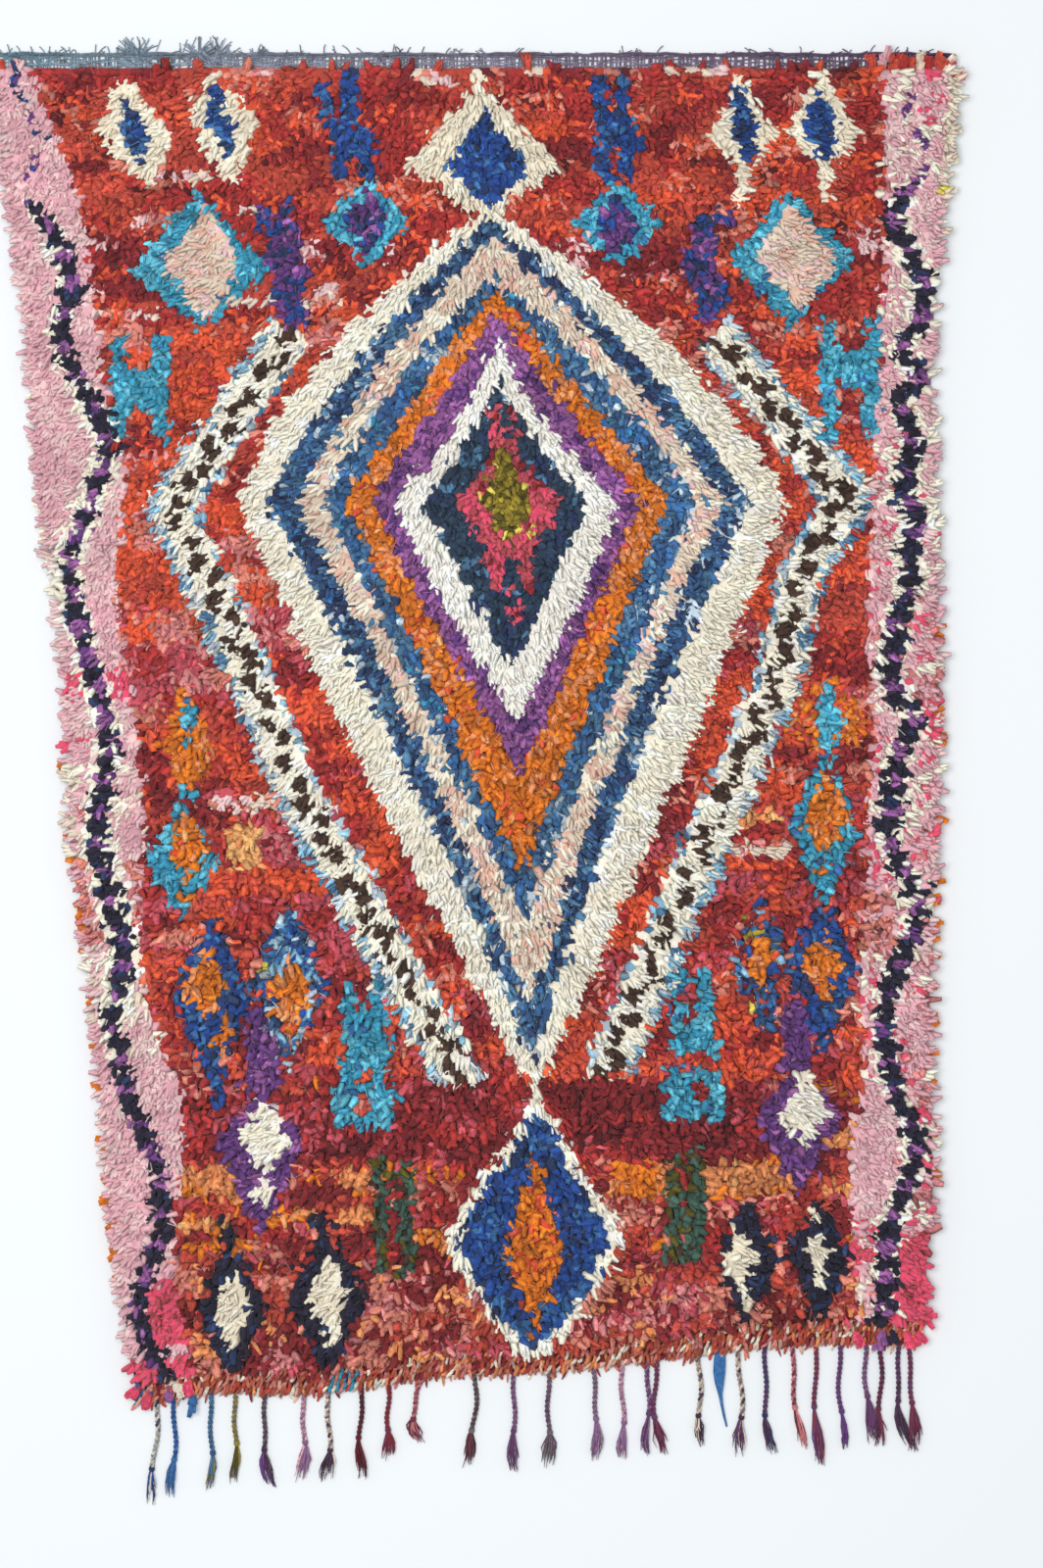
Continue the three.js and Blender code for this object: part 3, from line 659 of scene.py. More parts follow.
def paint_chain(x, y, corners, paint):
    """A pale edge, a band of wool, and a brown zigzag in steps."""
    offset, gone = along(x, y, corners)
    swing = CHAIN_SWING * np.sign(np.sin(math.pi * gone / CHAIN_STEP))
    knotted = gone % CHAIN_STEP < CHAIN_KNOTTED * CHAIN_STEP
    ends = (gone > 0) & (y > corners[-1][1])
    inward = offset * np.sign(corners[1][0])
    for (outer, inner), mix in ((CHAIN_EDGE, "chain_edge"), (CHAIN_WOOL, "cream")):
        paint((inward > outer) & (inward < inner) & ends, mix)
    paint((np.abs(offset - swing) < CHAIN_HALF) & ends & knotted, "brown")


def paint_borders(x, y, paint):
    """The side borders, and the ragged dark lines that wander down them between toothed cream edges."""
    beat = np.abs(np.sin(0.62 * y + 0.4))
    row_step = np.sign(np.sin(math.pi * y / ROW_PITCH))
    ink_half = 1.05 + 0.75 * beat + 0.38 * row_step
    fewer_below = np.clip((y + 20) / 50, 0.3, 1)
    teeth = (0.8 + 0.7 * np.sin(y * 2.1) * np.sin(y * 0.7)) * fewer_below

    def paint_line(side, offset, top, shift, cream, slim, tip_half, dashes, tip):
        """Cream, ink and purple flecks up to the top, and a thin dashed tip above it."""
        thick = np.clip((top + 1 - y) / LINE_TAPER, 0, 1)
        paint(side & (np.abs(offset + shift) < (CREAM_HALF + teeth) * thick * cream), "cream")
        paint(side & (np.abs(offset) < (ink_half - slim) * thick), "ink")
        paint(side & (np.abs(offset) < FLECK_HALF) & (y < top) & (beat < 0.5 + slim), "purple")
        paint(side & (np.abs(offset) < tip_half) & (y >= top) & dashes, tip)

    left = x < smooth(LEFT_INNER, y)
    for mix, *limits in LEFT_BORDER:
        paint(left & between(x, y, *limits), mix)
    offset = x - smooth(LEFT_LINE, y)
    paint(left & between(offset, y, *CREAM_FILL), "cream")
    cream = np.clip((y + 80) / 40, 0.2, 1) * (1 - 0.28 * np.clip((y - 60) / 10, 0, 1))
    slim = 0.3 * ((y > 0) & (y < 52))
    paint_line(left, offset, LEFT_TIP, 0.4, cream, slim, 0.5, np.sin(y * 0.9) > -0.8, "indigo")

    right = x > smooth(RIGHT_INNER, y)
    for mix, *limits in RIGHT_BORDER:
        paint(right & between(x, y, *limits), mix)
    for limits in HOT_CORNER:
        paint(between(x, y, *limits), "hotpink")
    offset = x - smooth(RIGHT_LINE, y)
    paint_line(right, offset, RIGHT_TIP, 0, 1, 0, 0.6, np.sin(y * 1.1) > -0.3, "violet")


def tie_knots():
    """Place, rag chance, tone and row of every knot, row by row from the lower end."""
    rows = round((PILE_TOP - LOWEST_ROW) / ROW_PITCH)
    x, y, rag, tone, number = [], [], [], [], []
    for row in range(rows):
        if row % 2 == 0:
            starts = RAGS_FROM + np.cumsum(chance.uniform(*RAG_RUN, RAGS_IN_ROW))
            rags = chance.random(RAGS_IN_ROW + 1)
            tones = chance.uniform(*RAG_TONE, RAGS_IN_ROW + 1)
        up = (row + 0.5) / rows
        level = LOWEST_ROW + (PILE_TOP - LOWEST_ROW) * up
        left, right = rims(level, RIM_INSET)
        many = round(float(right - left) / KNOT_PITCH)
        across = (np.arange(many) + 0.5 + 0.25 * (-1) ** row) / many
        row_x = left + (right - left) * across + chance.uniform(-STRAY, STRAY, many)
        foot = smooth(LOWER_EDGE, row_x) + BAND_WIDTH + BAND_GAP
        x.append(row_x)
        y.append(foot + (PILE_TOP - foot) * up + chance.uniform(-STRAY, STRAY, many))
        strip = np.searchsorted(starts, row_x + chance.uniform(-2 * STRAY, 2 * STRAY, many))
        rag.append(rags[strip])
        tone.append(tones[strip])
        number.append(np.full(many, row))
    return tuple(np.concatenate(part) for part in (x, y, rag, tone, number))


def lean(x, y):
    """Which way the pile lies: 0 is down the rug, and it turns out to the side at a rim. Some of the
    last row stands up over the heading."""
    lie = SIDE_TURN * np.clip(x / SIDE_WIDTH, -0.6, 1) + WANDER * np.sin(0.23 * x + 0.11 * y)
    left, right = rims(y)
    near_left = np.clip(1 - (x - left) / RIM_REACH, 0, 1)
    near_right = np.clip(1 - (right - x) / RIM_REACH, 0, 1)
    raised = math.pi * ((y > PILE_TOP - 1.3) & (np.sin(7.3 * x) > 0.6))
    return lie - RIM_TURN * near_left + RIM_TURN * near_right + raised


def bearing(lie, rise=0.0):
    """Directions of strands that lie at these angles: 0 is down the rug, a quarter turn to the right."""
    return join(np.sin(lie), -np.cos(lie), rise)


def beside(lie, roll=0.0):
    """Directions across strands that lie at these angles."""
    return join(np.cos(lie), np.sin(lie), roll)


def grow(x, y, rag, own, tone, row, kind):
    """The locks of the knots given: courses, side directions, widths, ridges, tints and colours."""
    yarn = YARNS[kind]
    each = np.repeat(np.arange(len(x)), yarn["locks"])
    turn = np.tile(np.linspace(-1, 1, yarn["locks"]), len(x))
    count = len(each)
    lie = lean(x, y) + chance.normal(0, yarn["spread"], len(x))
    lie += yarn["comb"] * np.clip(x / COMB_WIDTH, -1, 1)
    lie = lie[each] + turn * yarn["fan"] + chance.normal(0, 0.2, count)
    ahead, aside = bearing(lie), beside(lie)
    root = join(x[each] + turn * yarn["root"], y[each], ROOT_HEIGHT)
    root[:, :2] += chance.uniform(-0.2, 0.2, (count, 2))
    raised = row % 2
    reach = chance.uniform(*yarn["reach"], count)
    reach += yarn["longer"] * (raised * (from_rim(x, y) > RIM_REACH))[each]
    tall = chance.uniform(*yarn["tall"], count) + yarn["taller"] * raised[each]
    t = np.linspace(0, 1, LOCK_RINGS)
    out = reach[:, None] * (0.35 * t + 0.65 * t**2)
    up = tall[:, None] * (1.6 * t - 0.6 * t**2)
    sway = chance.normal(0, yarn["curl"], count)[:, None] * t**2
    course = root[:, None] + ahead[:, None] * out[..., None] + aside[:, None] * sway[..., None]
    course[..., 2] += up
    roll = chance.normal(0, 1, count) * yarn["roll"]
    aside = aside * np.cos(roll)[:, None]
    aside[:, 2] = np.sin(roll)
    seen = root[:, :2] + ahead[:, :2] * (0.7 * reach)[:, None]
    seen += chance.normal(0, 0.4, (len(x), 2))[each]
    colour = chart(seen[:, 0], seen[:, 1], rag[each], own[each])
    vary = np.where(TWISTS[colour] == "rag", 1.0, WOOL_VARY)
    tint = LINEAR[colour] * (1 + vary * (tone[each] * chance.normal(1, LOCK_TONE, count) - 1))[:, None]
    # Painted shade and light along each lock: darker at the root where the pile shades it, lighter at the
    # tip.
    tint = np.clip(tint[:, None] * np.array(yarn["shade"])[:, None], 0, 1)
    width = chance.uniform(*yarn["width"], count)[:, None] * np.array(yarn["taper"])
    ridge = chance.uniform(*yarn["ridge"], count)[:, None] * np.array(yarn["taper"])
    return course, aside, width, ridge, tint, colour


def sections(course, aside, width, ridge, angles):
    """Rings of points round every course."""
    ahead = np.gradient(course, axis=1)
    ahead /= np.linalg.norm(ahead, axis=-1, keepdims=True)
    above = np.cross(ahead, aside)
    above /= np.linalg.norm(above, axis=-1, keepdims=True)
    aside = np.cross(above, ahead)
    wide = 0.5 * width[..., None] * np.cos(angles)
    high = ridge[..., None] * np.sin(angles)
    return course[:, :, None] + aside[:, :, None] * wide[..., None] + above[:, :, None] * high[..., None]


def pattern(rings, sides):
    """Faces of one strand, and the place of each face corner on its own small map: the sides below,
    the cap at the top."""
    sides_share = 0.86
    quads, places = [], []
    for k in range(rings - 1):
        for j in range(sides):
            n = (j + 1) % sides
            quads.append([k * sides + j, (k + 1) * sides + j, (k + 1) * sides + n, k * sides + n])
            left, right = j / sides, (j + 1) / sides
            low, high = sides_share * k / (rings - 1), sides_share * (k + 1) / (rings - 1)
            places.append([(left, low), (left, high), (right, high), (right, low)])
    cap = [(rings - 1) * sides + j for j in reversed(range(sides))]
    turns = [math.pi * 2 * j / sides for j in range(sides)]
    cap_places = [(0.5 + 0.4 * math.cos(a), 0.95 - 0.04 * math.sin(a)) for a in turns]
    return np.array(quads), np.array(places), np.array(cap), np.array(cap_places[::-1])


def cells(count, places):
    """Places of every strand's face corners, each strand in its own cell of the map."""
    grid = math.ceil(math.sqrt(count))
    cell = np.stack([np.arange(count) % grid, np.arange(count) // grid], -1)
    return ((cell[:, None] + 0.06 + 0.88 * places.reshape(1, -1, 2)) / grid).reshape(-1, 2)


def round_angles(sides):
    """Angles of the points round a round strand."""
    return math.pi - 2 * math.pi * np.arange(sides) / sides


def add_object(name, data, place=(0, 0, 0)):
    """A new object in the scene. Its place is in metres."""
    item = bpy.data.objects.new(name, data)
    item.location = place
    bpy.context.scene.collection.objects.link(item)
    return item


def fill(items, key, values, kind=np.float32):
    """Sets one property of all the items of a mesh."""
    items.foreach_set(key, np.ravel(values).astype(kind))


def show(name, points, loops, sizes, tint, material, slot, node, smooth_faces, flat=None, lay=None):
    """A piece of the rug from its points in centimetres, its faces, tints and map places. lay is where
    a point is on its strand: across it, along it, and a number of the strand's own."""
    mesh = bpy.data.meshes.new(name)
    mesh.vertices.add(len(points))
    points[:, 2] = np.maximum(points[:, 2], 0)
    fill(mesh.vertices, "co", points * CM)
    mesh.loops.add(len(loops))
    fill(mesh.loops, "vertex_index", loops, np.int32)
    mesh.polygons.add(len(sizes))
    fill(mesh.polygons, "loop_start", np.cumsum(sizes) - sizes, np.int32)
    mesh.update(calc_edges=True)
    fill(mesh.polygons, "use_smooth", np.full(len(sizes), smooth_faces), bool)
    tints = np.ones((len(points), 4))
    tints[:, :3] = np.clip(tint, 0, 1)
    fill(mesh.color_attributes.new("tint", "FLOAT_COLOR", "POINT").data, "color", tints)
    lay = points if lay is None else lay
    fill(mesh.attributes.new("lay", "FLOAT_VECTOR", "POINT").data, "vector", lay)
    if flat is not None:
        fill(mesh.uv_layers.new(name="OFBake").data, "uv", flat)
    mesh.materials.append(material)
    piece = add_object(name, mesh)
    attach(piece, "root")
    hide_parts(node)
    return piece


def strands(name, course, aside, width, ridge, tint, angles, look, smooth_faces=True):
    """One piece made of many strands with the same number of rings. Side directions are given for each
    strand or once, widths and ridges in any form that spreads over the rings, tints for each strand or
    ring. look is the material, the slot and the node that the piece stands for."""
    count, rings, sides = *course.shape[:2], len(angles)
    width = np.broadcast_to(width, (count, rings))
    ridge = np.broadcast_to(ridge, (count, rings))
    tint = np.broadcast_to(tint if tint.ndim == 3 else tint[:, None], (count, rings, 3))
    points = sections(course, np.reshape(aside, (-1, 1, 3)), width, ridge, angles)
    quads, places, cap, cap_places = pattern(rings, sides)
    step = np.arange(count) * rings * sides
    loops = [(quads[None] + step[:, None, None]).ravel(), (cap[None] + step[:, None]).ravel()]
    sizes = np.concatenate([np.full(count * len(quads), 4), np.full(count, sides)])
    flat = np.concatenate([cells(count, places), cells(count, cap_places)])
    tint = np.repeat(tint[:, :, None], sides, 2).reshape(-1, 3)
    lay = np.zeros(points.shape)
    gone = np.linalg.norm(np.diff(course, axis=1), axis=-1)
    lay[..., 0] = 0.5 * width[..., None] * np.cos(angles)
    lay[:, 1:, :, 1] = np.cumsum(gone, 1)[..., None]
    lay[..., 2] = 3.7 * np.arange(count)[:, None, None]
    points, lay = points.reshape(-1, 3), lay.reshape(-1, 3)
    return show(name, points, np.concatenate(loops), sizes, tint, *look, smooth_faces, flat, lay)


def mounds(name, x, y, tint, tall, look):
    """One piece of four-sided mounds that run into each other, the roots of the knots. They are lower
    and narrower near an edge of the pile."""
    count = len(x)
    corner = np.array([(-1, -1), (1, -1), (1, 1), (-1, 1), (0, 0)], float)
    from_end = np.minimum(PILE_TOP - y, y - smooth(LOWER_EDGE, x) - BAND_WIDTH)
    full = np.clip(np.minimum(from_rim(x, y), from_end) / 2.5, 0, 1)
    points = np.zeros((count, 5, 3))
    points[..., :2] = np.stack([x, y], -1)[:, None] + (0.9 + 0.8 * full)[:, None, None] * corner
    points[:, :4, 2] = (0.15 + (0.45 * tall - 0.15) * full)[:, None]
    points[:, 4, 2] = tall
    points[:, 4, :2] += chance.uniform(-STRAY, STRAY, (count, 2))
    faces = np.array([(0, 1, 4), (1, 2, 4), (2, 3, 4), (3, 0, 4)])
    loops = (faces[None] + 5 * np.arange(count)[:, None, None]).ravel()
    flat = cells(count, (0.5 + 0.5 * corner)[faces])
    # Painted shade: the foot of each mound is darker than its top, as shade between the knots; less so
    # under light colours.
    low = np.where(tint.min(1) > 0.3, 0.95, 0.75)[:, None]
    tint = tint[:, None] * np.where(corner[:, :1].T == 0, 1.0, low)[..., None]
    sizes = np.full(4 * count, 3)
    return show(name, points.reshape(-1, 3), loops, sizes, tint.reshape(-1, 3), *look, True, flat)


def add_node(tree, kind, values=None, **options):
    """A new shader node with its own options and the values of its inputs."""
    node = tree.nodes.new(f"ShaderNode{kind}")
    for key, value in options.items():
        setattr(node, key, value)
    set_values(node, values or {})
    return node


def set_values(node, values):
    for key, value in values.items():
        node.inputs[key].default_value = value


def cloth(name, spread, streak, relief, sheen):
    """Cloth or yarn in the colour of its tint, mottled, with fibres that run along the strand."""
    material = bpy.data.materials.new(name)
    material.use_nodes = True
    tree = material.node_tree
    link = tree.links.new
    shader = tree.nodes["Principled BSDF"]
    set_values(shader, {"Roughness": 0.9, "Specular IOR Level": 0.2})
    set_values(shader, {"Sheen Weight": sheen, "Sheen Roughness": 0.6})
    place = add_node(tree, "TexCoord")
    lay = add_node(tree, "Attribute", attribute_name="lay")
    drawn = add_node(tree, "VectorMath", {1: (7.0, 0.8, 1.0)}, operation="MULTIPLY")
    link(lay.outputs["Vector"], drawn.inputs[0])
    colour = add_node(tree, "Attribute", attribute_name="tint").outputs["Color"]
    for source, scale, detail, share in (
        (place.outputs["Object"], 160, 3, spread),
        (drawn.outputs["Vector"], 1.0, 2, streak),
    ):
        noise = add_node(tree, "TexNoise", {"Scale": scale, "Detail": detail, "Roughness": 0.65})
        link(source, noise.inputs["Vector"])
        levels = {"From Min": 0.3, "From Max": 0.7, "To Min": 1 - share, "To Max": 1 + share}
        shade = add_node(tree, "MapRange", levels)
        link(noise.outputs["Fac"], shade.inputs["Value"])
        mix = add_node(tree, "Mix", {"Factor": 1}, data_type="RGBA", blend_type="MULTIPLY")
        link(colour, mix.inputs["A"])
        link(shade.outputs["Result"], mix.inputs["B"])
        colour = mix.outputs["Result"]
    link(colour, shader.inputs["Base Color"])
    bump = add_node(tree, "Bump", {"Strength": relief, "Distance": 0.002})
    link(noise.outputs["Fac"], bump.inputs["Height"])
    link(bump.outputs["Normal"], shader.inputs["Normal"])
    return material


RAG = cloth("rag_jersey", 0.36, 0.30, 0.8, 0.10)
WOOL = cloth("soft_wool", 0.07, 0.10, 0.3, 0.25)
YARN = cloth("warp_yarn", 0.20, 0.20, 0.6, 0.10)

# Looks: material, slot, and the node that a piece stands for.
RAG_PILE = (RAG, "rag_pile", "rug_pile")
WOOL_PILE = (WOOL, "rag_pile", "rug_pile")
GROUND = (YARN, "rag_pile", "rug_pile")
WEAVE = (YARN, "bare_weave", "heading")
BAND = (RAG, "twined_rag", "end_band")
FRINGE = (YARN, "warp_fringe", "fringe")
FRINGE_RAG = (RAG, "warp_fringe", "fringe")


def pile():
    """The knotted pile, a piece for each family of colours, split where it has too many locks."""
    x, y, rag, tone, row = tie_knots()
    own = chance.random(len(x))
    under = chart(x, y, rag, own)
    below = TWISTS[chart(x, y - LAY, rag, own)]
    fine = y + chance.normal(0, TUFTS_MINGLE, len(x)) > TUFTS_FROM
    yarn = np.where(below == "rag", np.where(fine, "tuft", "jersey"), below)
    groups = []
    for kind in YARNS:
        mine = yarn == kind
        groups.append(grow(*(part[mine] for part in (x, y, rag, own, tone, row)), kind))
    *locks, colour = (np.concatenate(part) for part in zip(*groups))
    tall = np.array([YARNS[kind]["mound"] for kind in yarn]) * chance.uniform(0.93, 1.07, len(x))
    made = [mounds("pile_roots", x, y, LINEAR[under] * tone[:, None], tall, WOOL_PILE)]
    made.append(fuzz(x, y, rag, own, tone, yarn))
    root_y = locks[0][:, 0, 1]
    for family in dict.fromkeys(FAMILIES[np.unique(colour)]):
        mine = np.flatnonzero(FAMILIES[colour] == family)
        order = mine[np.argsort(-root_y[mine], kind="stable")]
        pieces = math.ceil(len(order) * LOCK_TRIANGLES / PIECE_TRIANGLES)
        look = WOOL_PILE if family in ("cream", "pink") else RAG_PILE
        for i, chosen in enumerate(np.array_split(order, pieces)):
            name = f"pile_{family}" + (f"_{i + 1}" if pieces > 1 else "")
            made.append(strands(name, *(part[chosen] for part in locks), TENT, look))
    return made


def fuzz(x, y, rag, own, tone, yarn):
    """Loose threads over the pile, from most rag knots and some woollen ones."""
    woolly = (yarn == "wool") | (yarn == "curl")
    each = np.flatnonzero(chance.random(len(x)) < np.where(woolly, WOOL_THREADS, RAG_THREADS))
    x, y, rag, own, tone = (part[each] for part in (x, y, rag, own, tone))
    count = len(each)
    lie = lean(x, y) + chance.normal(0, 0.9, count)
    ahead = bearing(lie, chance.uniform(0.0, 0.35, count))
    start = join(x, y - 0.4, 1.8 + chance.uniform(0.0, 0.35, count))
    start[:, :2] += chance.uniform(-0.7, 0.7, (count, 2))
    reach = chance.uniform(1.0, 2.2, count)
    end = start + ahead * (reach * np.clip(from_rim(x, y) / RIM_REACH, 0.3, 1))[:, None]
    seen = 0.5 * (start + end)
    colour = chart(seen[:, 0], seen[:, 1], rag, own)
    # Threads are painted a little lighter on the whole than their knots: painted light on top of the pile,
    # with a random tone on each.
    tint = LINEAR[colour] * (tone * chance.normal(1.04, 0.10, count))[:, None]
    taper = np.array([1.0, 0.4])
    width = chance.uniform(0.18, 0.32, count)[:, None] * taper
    ridge = chance.uniform(0.08, 0.15, count)[:, None] * taper
    course = np.stack([start, end], 1)
    return strands("pile_threads", course, beside(lie), width, ridge, tint, TENT, WOOL_PILE)


def rim_tufts():
    """Rag ends that stick out past the side rims and at the corners."""
    rows = []
    for edge, side, name, heights in RIM_RAGS:
        for y in heights:
            rows += RIM_STRIPS * [(smooth(edge, y) - side * RIM_START, y, side * RIM_LIE, name)]
    for tuft in TUFTS:
        rows += TUFT_STRIPS * [tuft]
    x, y, lie, names = zip(*rows)
    count = len(rows)
    x = np.array(x) + chance.normal(0, 0.3, count)
    y = np.array(y) + chance.normal(0, 0.5, count)
    lie = np.radians(lie) + chance.normal(0, 0.35, count)
    aside = beside(lie, chance.normal(0, 0.4, count))
    t = np.linspace(0, 1, LOCK_RINGS)
    reach = chance.uniform(1.4, 2.6, count)[:, None] * t
    course = join(x, y, 0.8)[:, None] + bearing(lie)[:, None] * reach[..., None]
    course[..., 2] += chance.uniform(0.3, 1.5, count)[:, None] * (1.4 * t - 0.4 * t**2)
    width = chance.uniform(0.8, 1.4, count)[:, None] * np.array([0.7, 1.0, 1.0, 0.8])
    tint = tinted(names) * chance.uniform(0.8, 1.1, count)[:, None]
    return strands("rim_tufts", course, aside, width, 0.25, tint, TENT, RAG_PILE, False)


def ground():
    """The woven ground under the pile, a thin closed sheet with the pile's outline, and its area."""
    across, up = GROUND_CELLS
    top = PILE_TOP + GROUND_LAP
    rows = []
    for share in np.arange(up + 1) / up:
        level = GROUND_FOOT + (top - GROUND_FOOT) * share
        left, right = rims(level, GROUND_INSET)
        x = left + (right - left) * np.linspace(0, 1, across + 1)
        foot = smooth(LOWER_EDGE, x) + GROUND_LAP
        rows.append(np.stack([x, foot + (top - foot) * share], -1))
    flat = np.concatenate(rows)
    size = len(flat)
    grid = np.arange(size).reshape(up + 1, across + 1)
    quads = np.stack([grid[:-1, :-1], grid[:-1, 1:], grid[1:, 1:], grid[1:, :-1]], -1).reshape(-1, 4)
    rim = np.concatenate([grid[0], grid[1:, -1], grid[-1, -2::-1], grid[-2:0:-1, 0]])
    after = np.roll(rim, -1)
    walls = np.stack([rim, after, size + after, size + rim], -1)
    faces = np.concatenate([size + quads, quads[:, ::-1], walls])
    (ax, ay), (bx, by) = flat[rim].T, flat[after].T
    area = 0.5 * abs(np.sum(ax * by - bx * ay))
    points = np.concatenate([join(*flat.T, height) for height in (0.0, GROUND_THICK)])
    tint = np.broadcast_to(linear("wine"), points.shape)
    piece = show("ground_weave", points, faces.ravel(), np.full(len(faces), 4), tint, *GROUND, False)
    return piece, area * CM * CM


def heading_shade(x):
    """Linear light of the heading's yarn."""
    places, *channels = np.array(HEADING_SHADES).T
    return np.stack([np.interp(x, places, channel) for channel in channels], -1)


def heading():
    """Bare open weave at the top end: close warps, wavering wefts, two cords, and frayed wisps."""
    x = np.arange(-HEADING_HALF + 0.3, HEADING_HALF, WARP_PITCH)
    count = len(x)
    x = x + chance.normal(0, 0.10, count)
    t = np.linspace(0, 1, 4)
    aslant = x[:, None] + chance.normal(0, 0.2, count)[:, None] * t
    course = join(aslant, HEADING_FOOT + (WARP_LENGTH + chance.normal(0, 0.12, count))[:, None] * t, 0.25)
    tint = heading_shade(x) * chance.uniform(0.6, 1.3, count)[:, None]
    width = chance.uniform(0.24, 0.44, count)[:, None]
    warps = strands("heading_warps", course, ACROSS, width, 0.09, tint, round_angles(4), WEAVE)

    way = np.linspace(-HEADING_HALF, HEADING_HALF, WEFT_RINGS)
    lines, tints, widths = [], [], []
    for level, waver, size, tone in WEFTS:
        ripple = waver * (np.sin(way * 0.31 + level * 7) + 0.8 * np.sin(way * 1.13 + level * 3))
        lines.append(join(way, level + ripple, 0.33 + 0.08 * np.sin(way * 2.7 + level)))
        tints.append(heading_shade(way) * tone * chance.uniform(0.75, 1.2, (WEFT_RINGS, 1)))
        widths.append(size * chance.uniform(0.8, 1.2, WEFT_RINGS))
    course, tint, width = np.array(lines), np.array(tints), np.array(widths)
    wefts = strands("heading_wefts", course, UPWARDS, width, 0.5 * width, tint, round_angles(4), WEAVE)

    x = chance.uniform(-HEADING_HALF, HEADING_HALF, WISPS)
    for share, middle, spread in WISP_CLUMPS:
        x = np.where(chance.random(WISPS) < share, chance.normal(middle, spread, WISPS), x)
    x = np.clip(x, -HEADING_HALF, HEADING_HALF)
    lie = chance.normal(0, 0.9, WISPS)
    reach = chance.uniform(0.5, 2.1, WISPS) * np.where(np.abs(x + 50) < 9, 1.7, 1.0)
    bow = chance.normal(0, 0.5, WISPS)
    root = WISP_FOOT - 1.6 * (chance.random(WISPS) < 0.35)
    course = join(
        x[:, None] + (np.sin(lie) * reach)[:, None] * t + bow[:, None] * t**2,
        root[:, None] + (np.abs(np.cos(lie)) * reach)[:, None] * (1.3 * t - 0.35 * t**2),
        0.25 + chance.uniform(0, 0.5, WISPS)[:, None] * t,
    )
    tint = heading_shade(x) * chance.uniform(0.4, 1.3, WISPS)[:, None]
    wisps = strands("heading_wisps", course, beside(-lie), 0.22, 0.10, tint, round_angles(3), WEAVE)
    return [warps, wefts, wisps]


def band_names(count):
    """Colours of the end band, drawn at random."""
    return [BAND_SHADES[i] for i in chance.integers(0, len(BAND_SHADES), count)]


def end_band():
    """Twined band below the pile: overlapping rows of thin slanting rag loops, with hanging tails. Some
    loops are teal in one place, and blue at the left end."""
    stops = [np.arange(*BAND_ENDS, pitch) for _, pitch in BAND_ROWS]
    level = np.repeat([height for height, _ in BAND_ROWS], [len(row) for row in stops])
    count = len(level)
    x = np.concatenate(stops) + chance.normal(0, 0.14, count)
    t = np.linspace(0, 1, 5)
    slope = chance.normal(1.15, 0.38, count)
    reach = chance.uniform(1.5, 2.5, count)
    course = join(
        x[:, None] + (np.cos(slope) * reach)[:, None] * (t - 0.5),
        (smooth(LOWER_EDGE, x) + level)[:, None] + (np.sin(slope) * reach)[:, None] * (t - 0.5),
        0.35 + chance.uniform(0.6, 1.1, count)[:, None] * np.sin(math.pi * t),
    )
    names = np.array(band_names(count))
    every_other = np.arange(count) % 2 == 1
    names[every_other & (x > -24) & (x < -19)] = "teal"
    names[every_other & (x < -53)] = "cobalt"
    width = chance.uniform(0.5, 0.75, count)[:, None] * np.array([0.6, 1, 1, 1, 0.6])
    tint = tinted(names) * chance.uniform(0.62, 1.0, count)[:, None]
    loops = strands("end_band_loops", course, -bearing(slope), width, 0.22, tint, round_angles(5), BAND)

    x = np.linspace(-55, 73, BAND_TAILS) + chance.normal(0, 0.7, BAND_TAILS)
    lie = chance.normal(0, 0.5, BAND_TAILS)
    reach = chance.uniform(1.0, 2.2, BAND_TAILS)
    t = np.linspace(0, 1, 4)
    course = join(
        x[:, None] + (np.sin(lie) * reach)[:, None] * t,
        (smooth(LOWER_EDGE, x) + 0.6)[:, None] - (np.cos(lie) * reach)[:, None] * t,
        0.3 + 0.35 * np.sin(math.pi * t),
    )
    names = band_names(BAND_TAILS)
    width = chance.uniform(0.35, 0.7, BAND_TAILS)[:, None] * np.array([1.0, 1.0, 0.9, 0.5])
    tint = tinted(names) * chance.uniform(0.8, 1.1, BAND_TAILS)[:, None]
    tails = strands("end_band_tails", course, beside(lie), width, 0.18, tint, TENT, BAND, False)
    return [loops, tails]


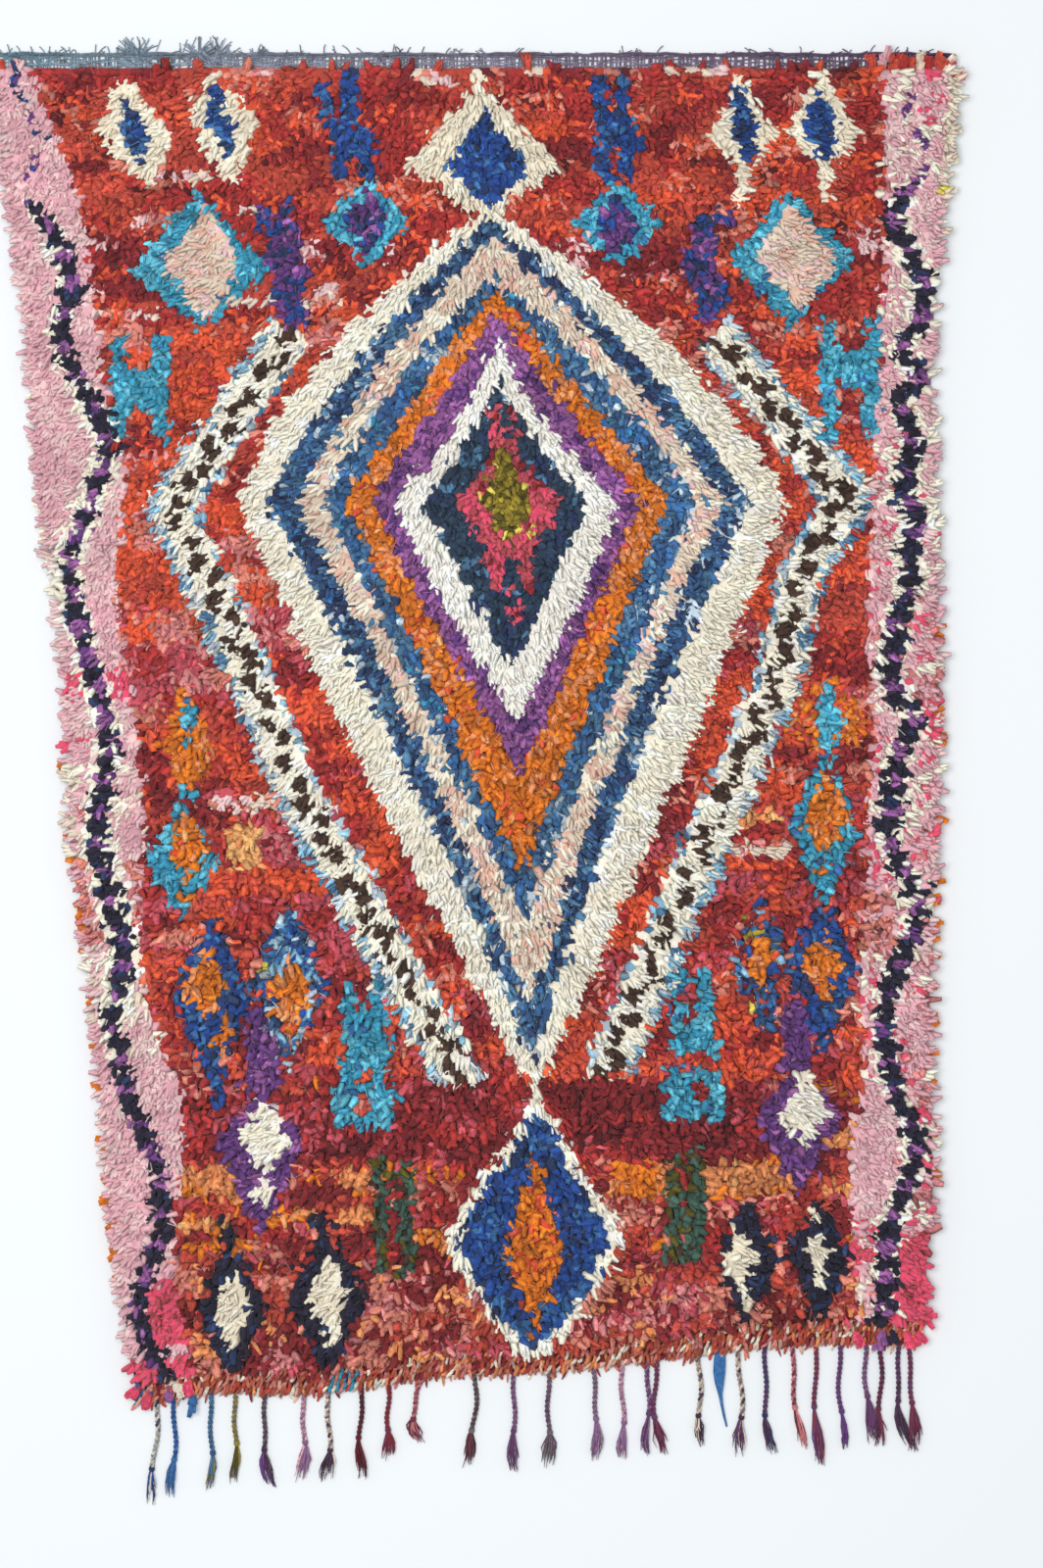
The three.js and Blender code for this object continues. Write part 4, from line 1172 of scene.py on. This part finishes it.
def fringe():
    """Braided warp ends: two plies twisted together, a knot, and a loose tassel. One end is a flat rag."""
    plies, knots, hairs = [], [], []
    for x, tip, swing, bend, tassel, one, two, end in STRANDS:
        start = float(smooth(LOWER_EDGE, x)) + 0.3
        length = start - tip

        def points(at, aside, height):
            """Points at shares of the strand's length, some way aside of its middle."""
            wander = 0.32 * np.sin(8.5 * at + 1.7 * x) * np.sin(math.pi * np.minimum(at, 0.5))
            middle = x + swing * at**2 + bend * np.sin(math.pi * at) + wander
            return join(middle + aside, start - length * at, height)

        stop = chance.uniform(0.50, 0.66)
        t = np.linspace(0, 1, BRAID_RINGS)
        for ply, (own, other) in enumerate(((one, two), (two, one))):
            angle = stop * t * length * BRAID_TWIST + ply * math.pi
            height = 0.55 - 0.10 * t + BRAID_HALF * np.sin(angle)
            course = points(stop * t, BRAID_HALF * np.cos(angle), height)
            width = chance.uniform(0.42, 0.52, BRAID_RINGS)
            blend = np.clip(chance.normal(0.25, 0.3, (BRAID_RINGS // 3, 1)), 0, 1).repeat(3, 0)
            tint = linear(own) * (1 - blend) + linear(other) * blend
            plies.append((course, width, tint * chance.uniform(0.7, 1.2, (BRAID_RINGS, 1))))
        t = np.linspace(0, 1, len(KNOT_WIDTHS))
        course = points(stop - 0.02 + KNOT_LENGTH / length * t, 0, 0.5)
        knots.append((course, KNOT_WIDTHS, linear(one) * 0.85))
        t = np.linspace(0, 1, 5)
        belly = np.sin(math.pi * t * 0.6)
        fan = np.linspace(-1, 1, TASSEL_HAIRS) + chance.normal(0, 0.15, TASSEL_HAIRS)
        for i in range(TASSEL_HAIRS):
            at = stop + (chance.uniform(0.80, 1.0) - stop) * t
            ripple = chance.normal(0, 0.2) * np.sin(math.pi * 2 * t + i)
            aside = fan[i] * tassel * 0.45 * belly + ripple * t
            course = points(at, aside, 0.3 + chance.uniform(0, 0.6) * belly)
            width = chance.uniform(0.24, 0.38) * np.array([1, 1, 1, 0.8, 0.3])
            name = (end, end, end, one, two)[chance.integers(0, 5)]
            hairs.append((course, width, linear(name) * chance.uniform(0.7, 1.25)))
    made = []
    for name, rows, ridge, sides in (
        ("fringe_braids", plies, 0.26, 4),
        ("fringe_knots", knots, KNOT_RIDGES, 8),
        ("fringe_tassels", hairs, 0.10, 3),
    ):
        course, width, tint = (np.array(part) for part in zip(*rows))
        made.append(strands(name, course, ACROSS, width, ridge, tint, round_angles(sides), FRINGE))
    x, tip = FLAT_RAG
    t = np.linspace(0, 1, len(FLAT_RAG_WIDTHS))
    start = float(smooth(LOWER_EDGE, x)) + 0.6
    hang = np.sin(math.pi * t)
    course = join(x + t**2 - 0.4 * hang, start + (tip - start) * t, 0.4 + 0.3 * hang)[None]
    tint = tinted(["cobalt"])
    made.append(strands("fringe_rag", course, ACROSS, FLAT_RAG_WIDTHS, 0.12, tint, TENT, FRINGE_RAG, False))
    return made


def floor():
    """A wide pale floor."""
    mesh = bpy.data.meshes.new("floor")
    mesh.from_pydata([(-40, -40, 0), (40, -40, 0), (40, 40, 0), (-40, 40, 0)], [], [(0, 1, 2, 3)])
    mesh.update()
    material = bpy.data.materials.new("pale_floor")
    material.use_nodes = True
    shader = material.node_tree.nodes["Principled BSDF"]
    set_values(shader, {"Base Color": (0.90, 0.93, 0.95, 1), "Roughness": 1.0, "Specular IOR Level": 0.0})
    mesh.materials.append(material)
    add_object("floor", mesh)


def window(x, y, z, size, power):
    """A soft square light that looks at the middle of the rug. Places are in metres."""
    lamp = bpy.data.lights.new("window", "AREA")
    lamp.shape = "SQUARE"
    lamp.size = size
    lamp.energy = power
    lamp.color = (1.0, 1.0, 1.0)
    piece = add_object("window", lamp, (x, y, z))
    piece.rotation_euler = (math.atan2(math.hypot(x, y), z), 0, math.atan2(x, -y))
    piece.visible_camera = False


def surroundings():
    """Floor, soft light from the upper left, even daylight, and a camera square above the rug."""
    scene = bpy.context.scene
    floor()
    window(-1.3, 0.5, 6.6, size=4.0, power=300)
    world = bpy.data.worlds.new("daylight")
    world.use_nodes = True
    set_values(world.node_tree.nodes["Background"], {"Color": (0.95, 0.98, 1.0, 1), "Strength": 0.50})
    scene.world = world
    scene.view_settings.view_transform = "Standard"
    camera = bpy.data.cameras.new("camera")
    camera.lens = 85
    camera.sensor_width = 36
    scene.camera = add_object("camera", camera, (0.076, -0.013, 6.07))


weave, weave_area = ground()
carried = pile() + [rim_tufts()] + heading() + end_band() + fringe()
surroundings()
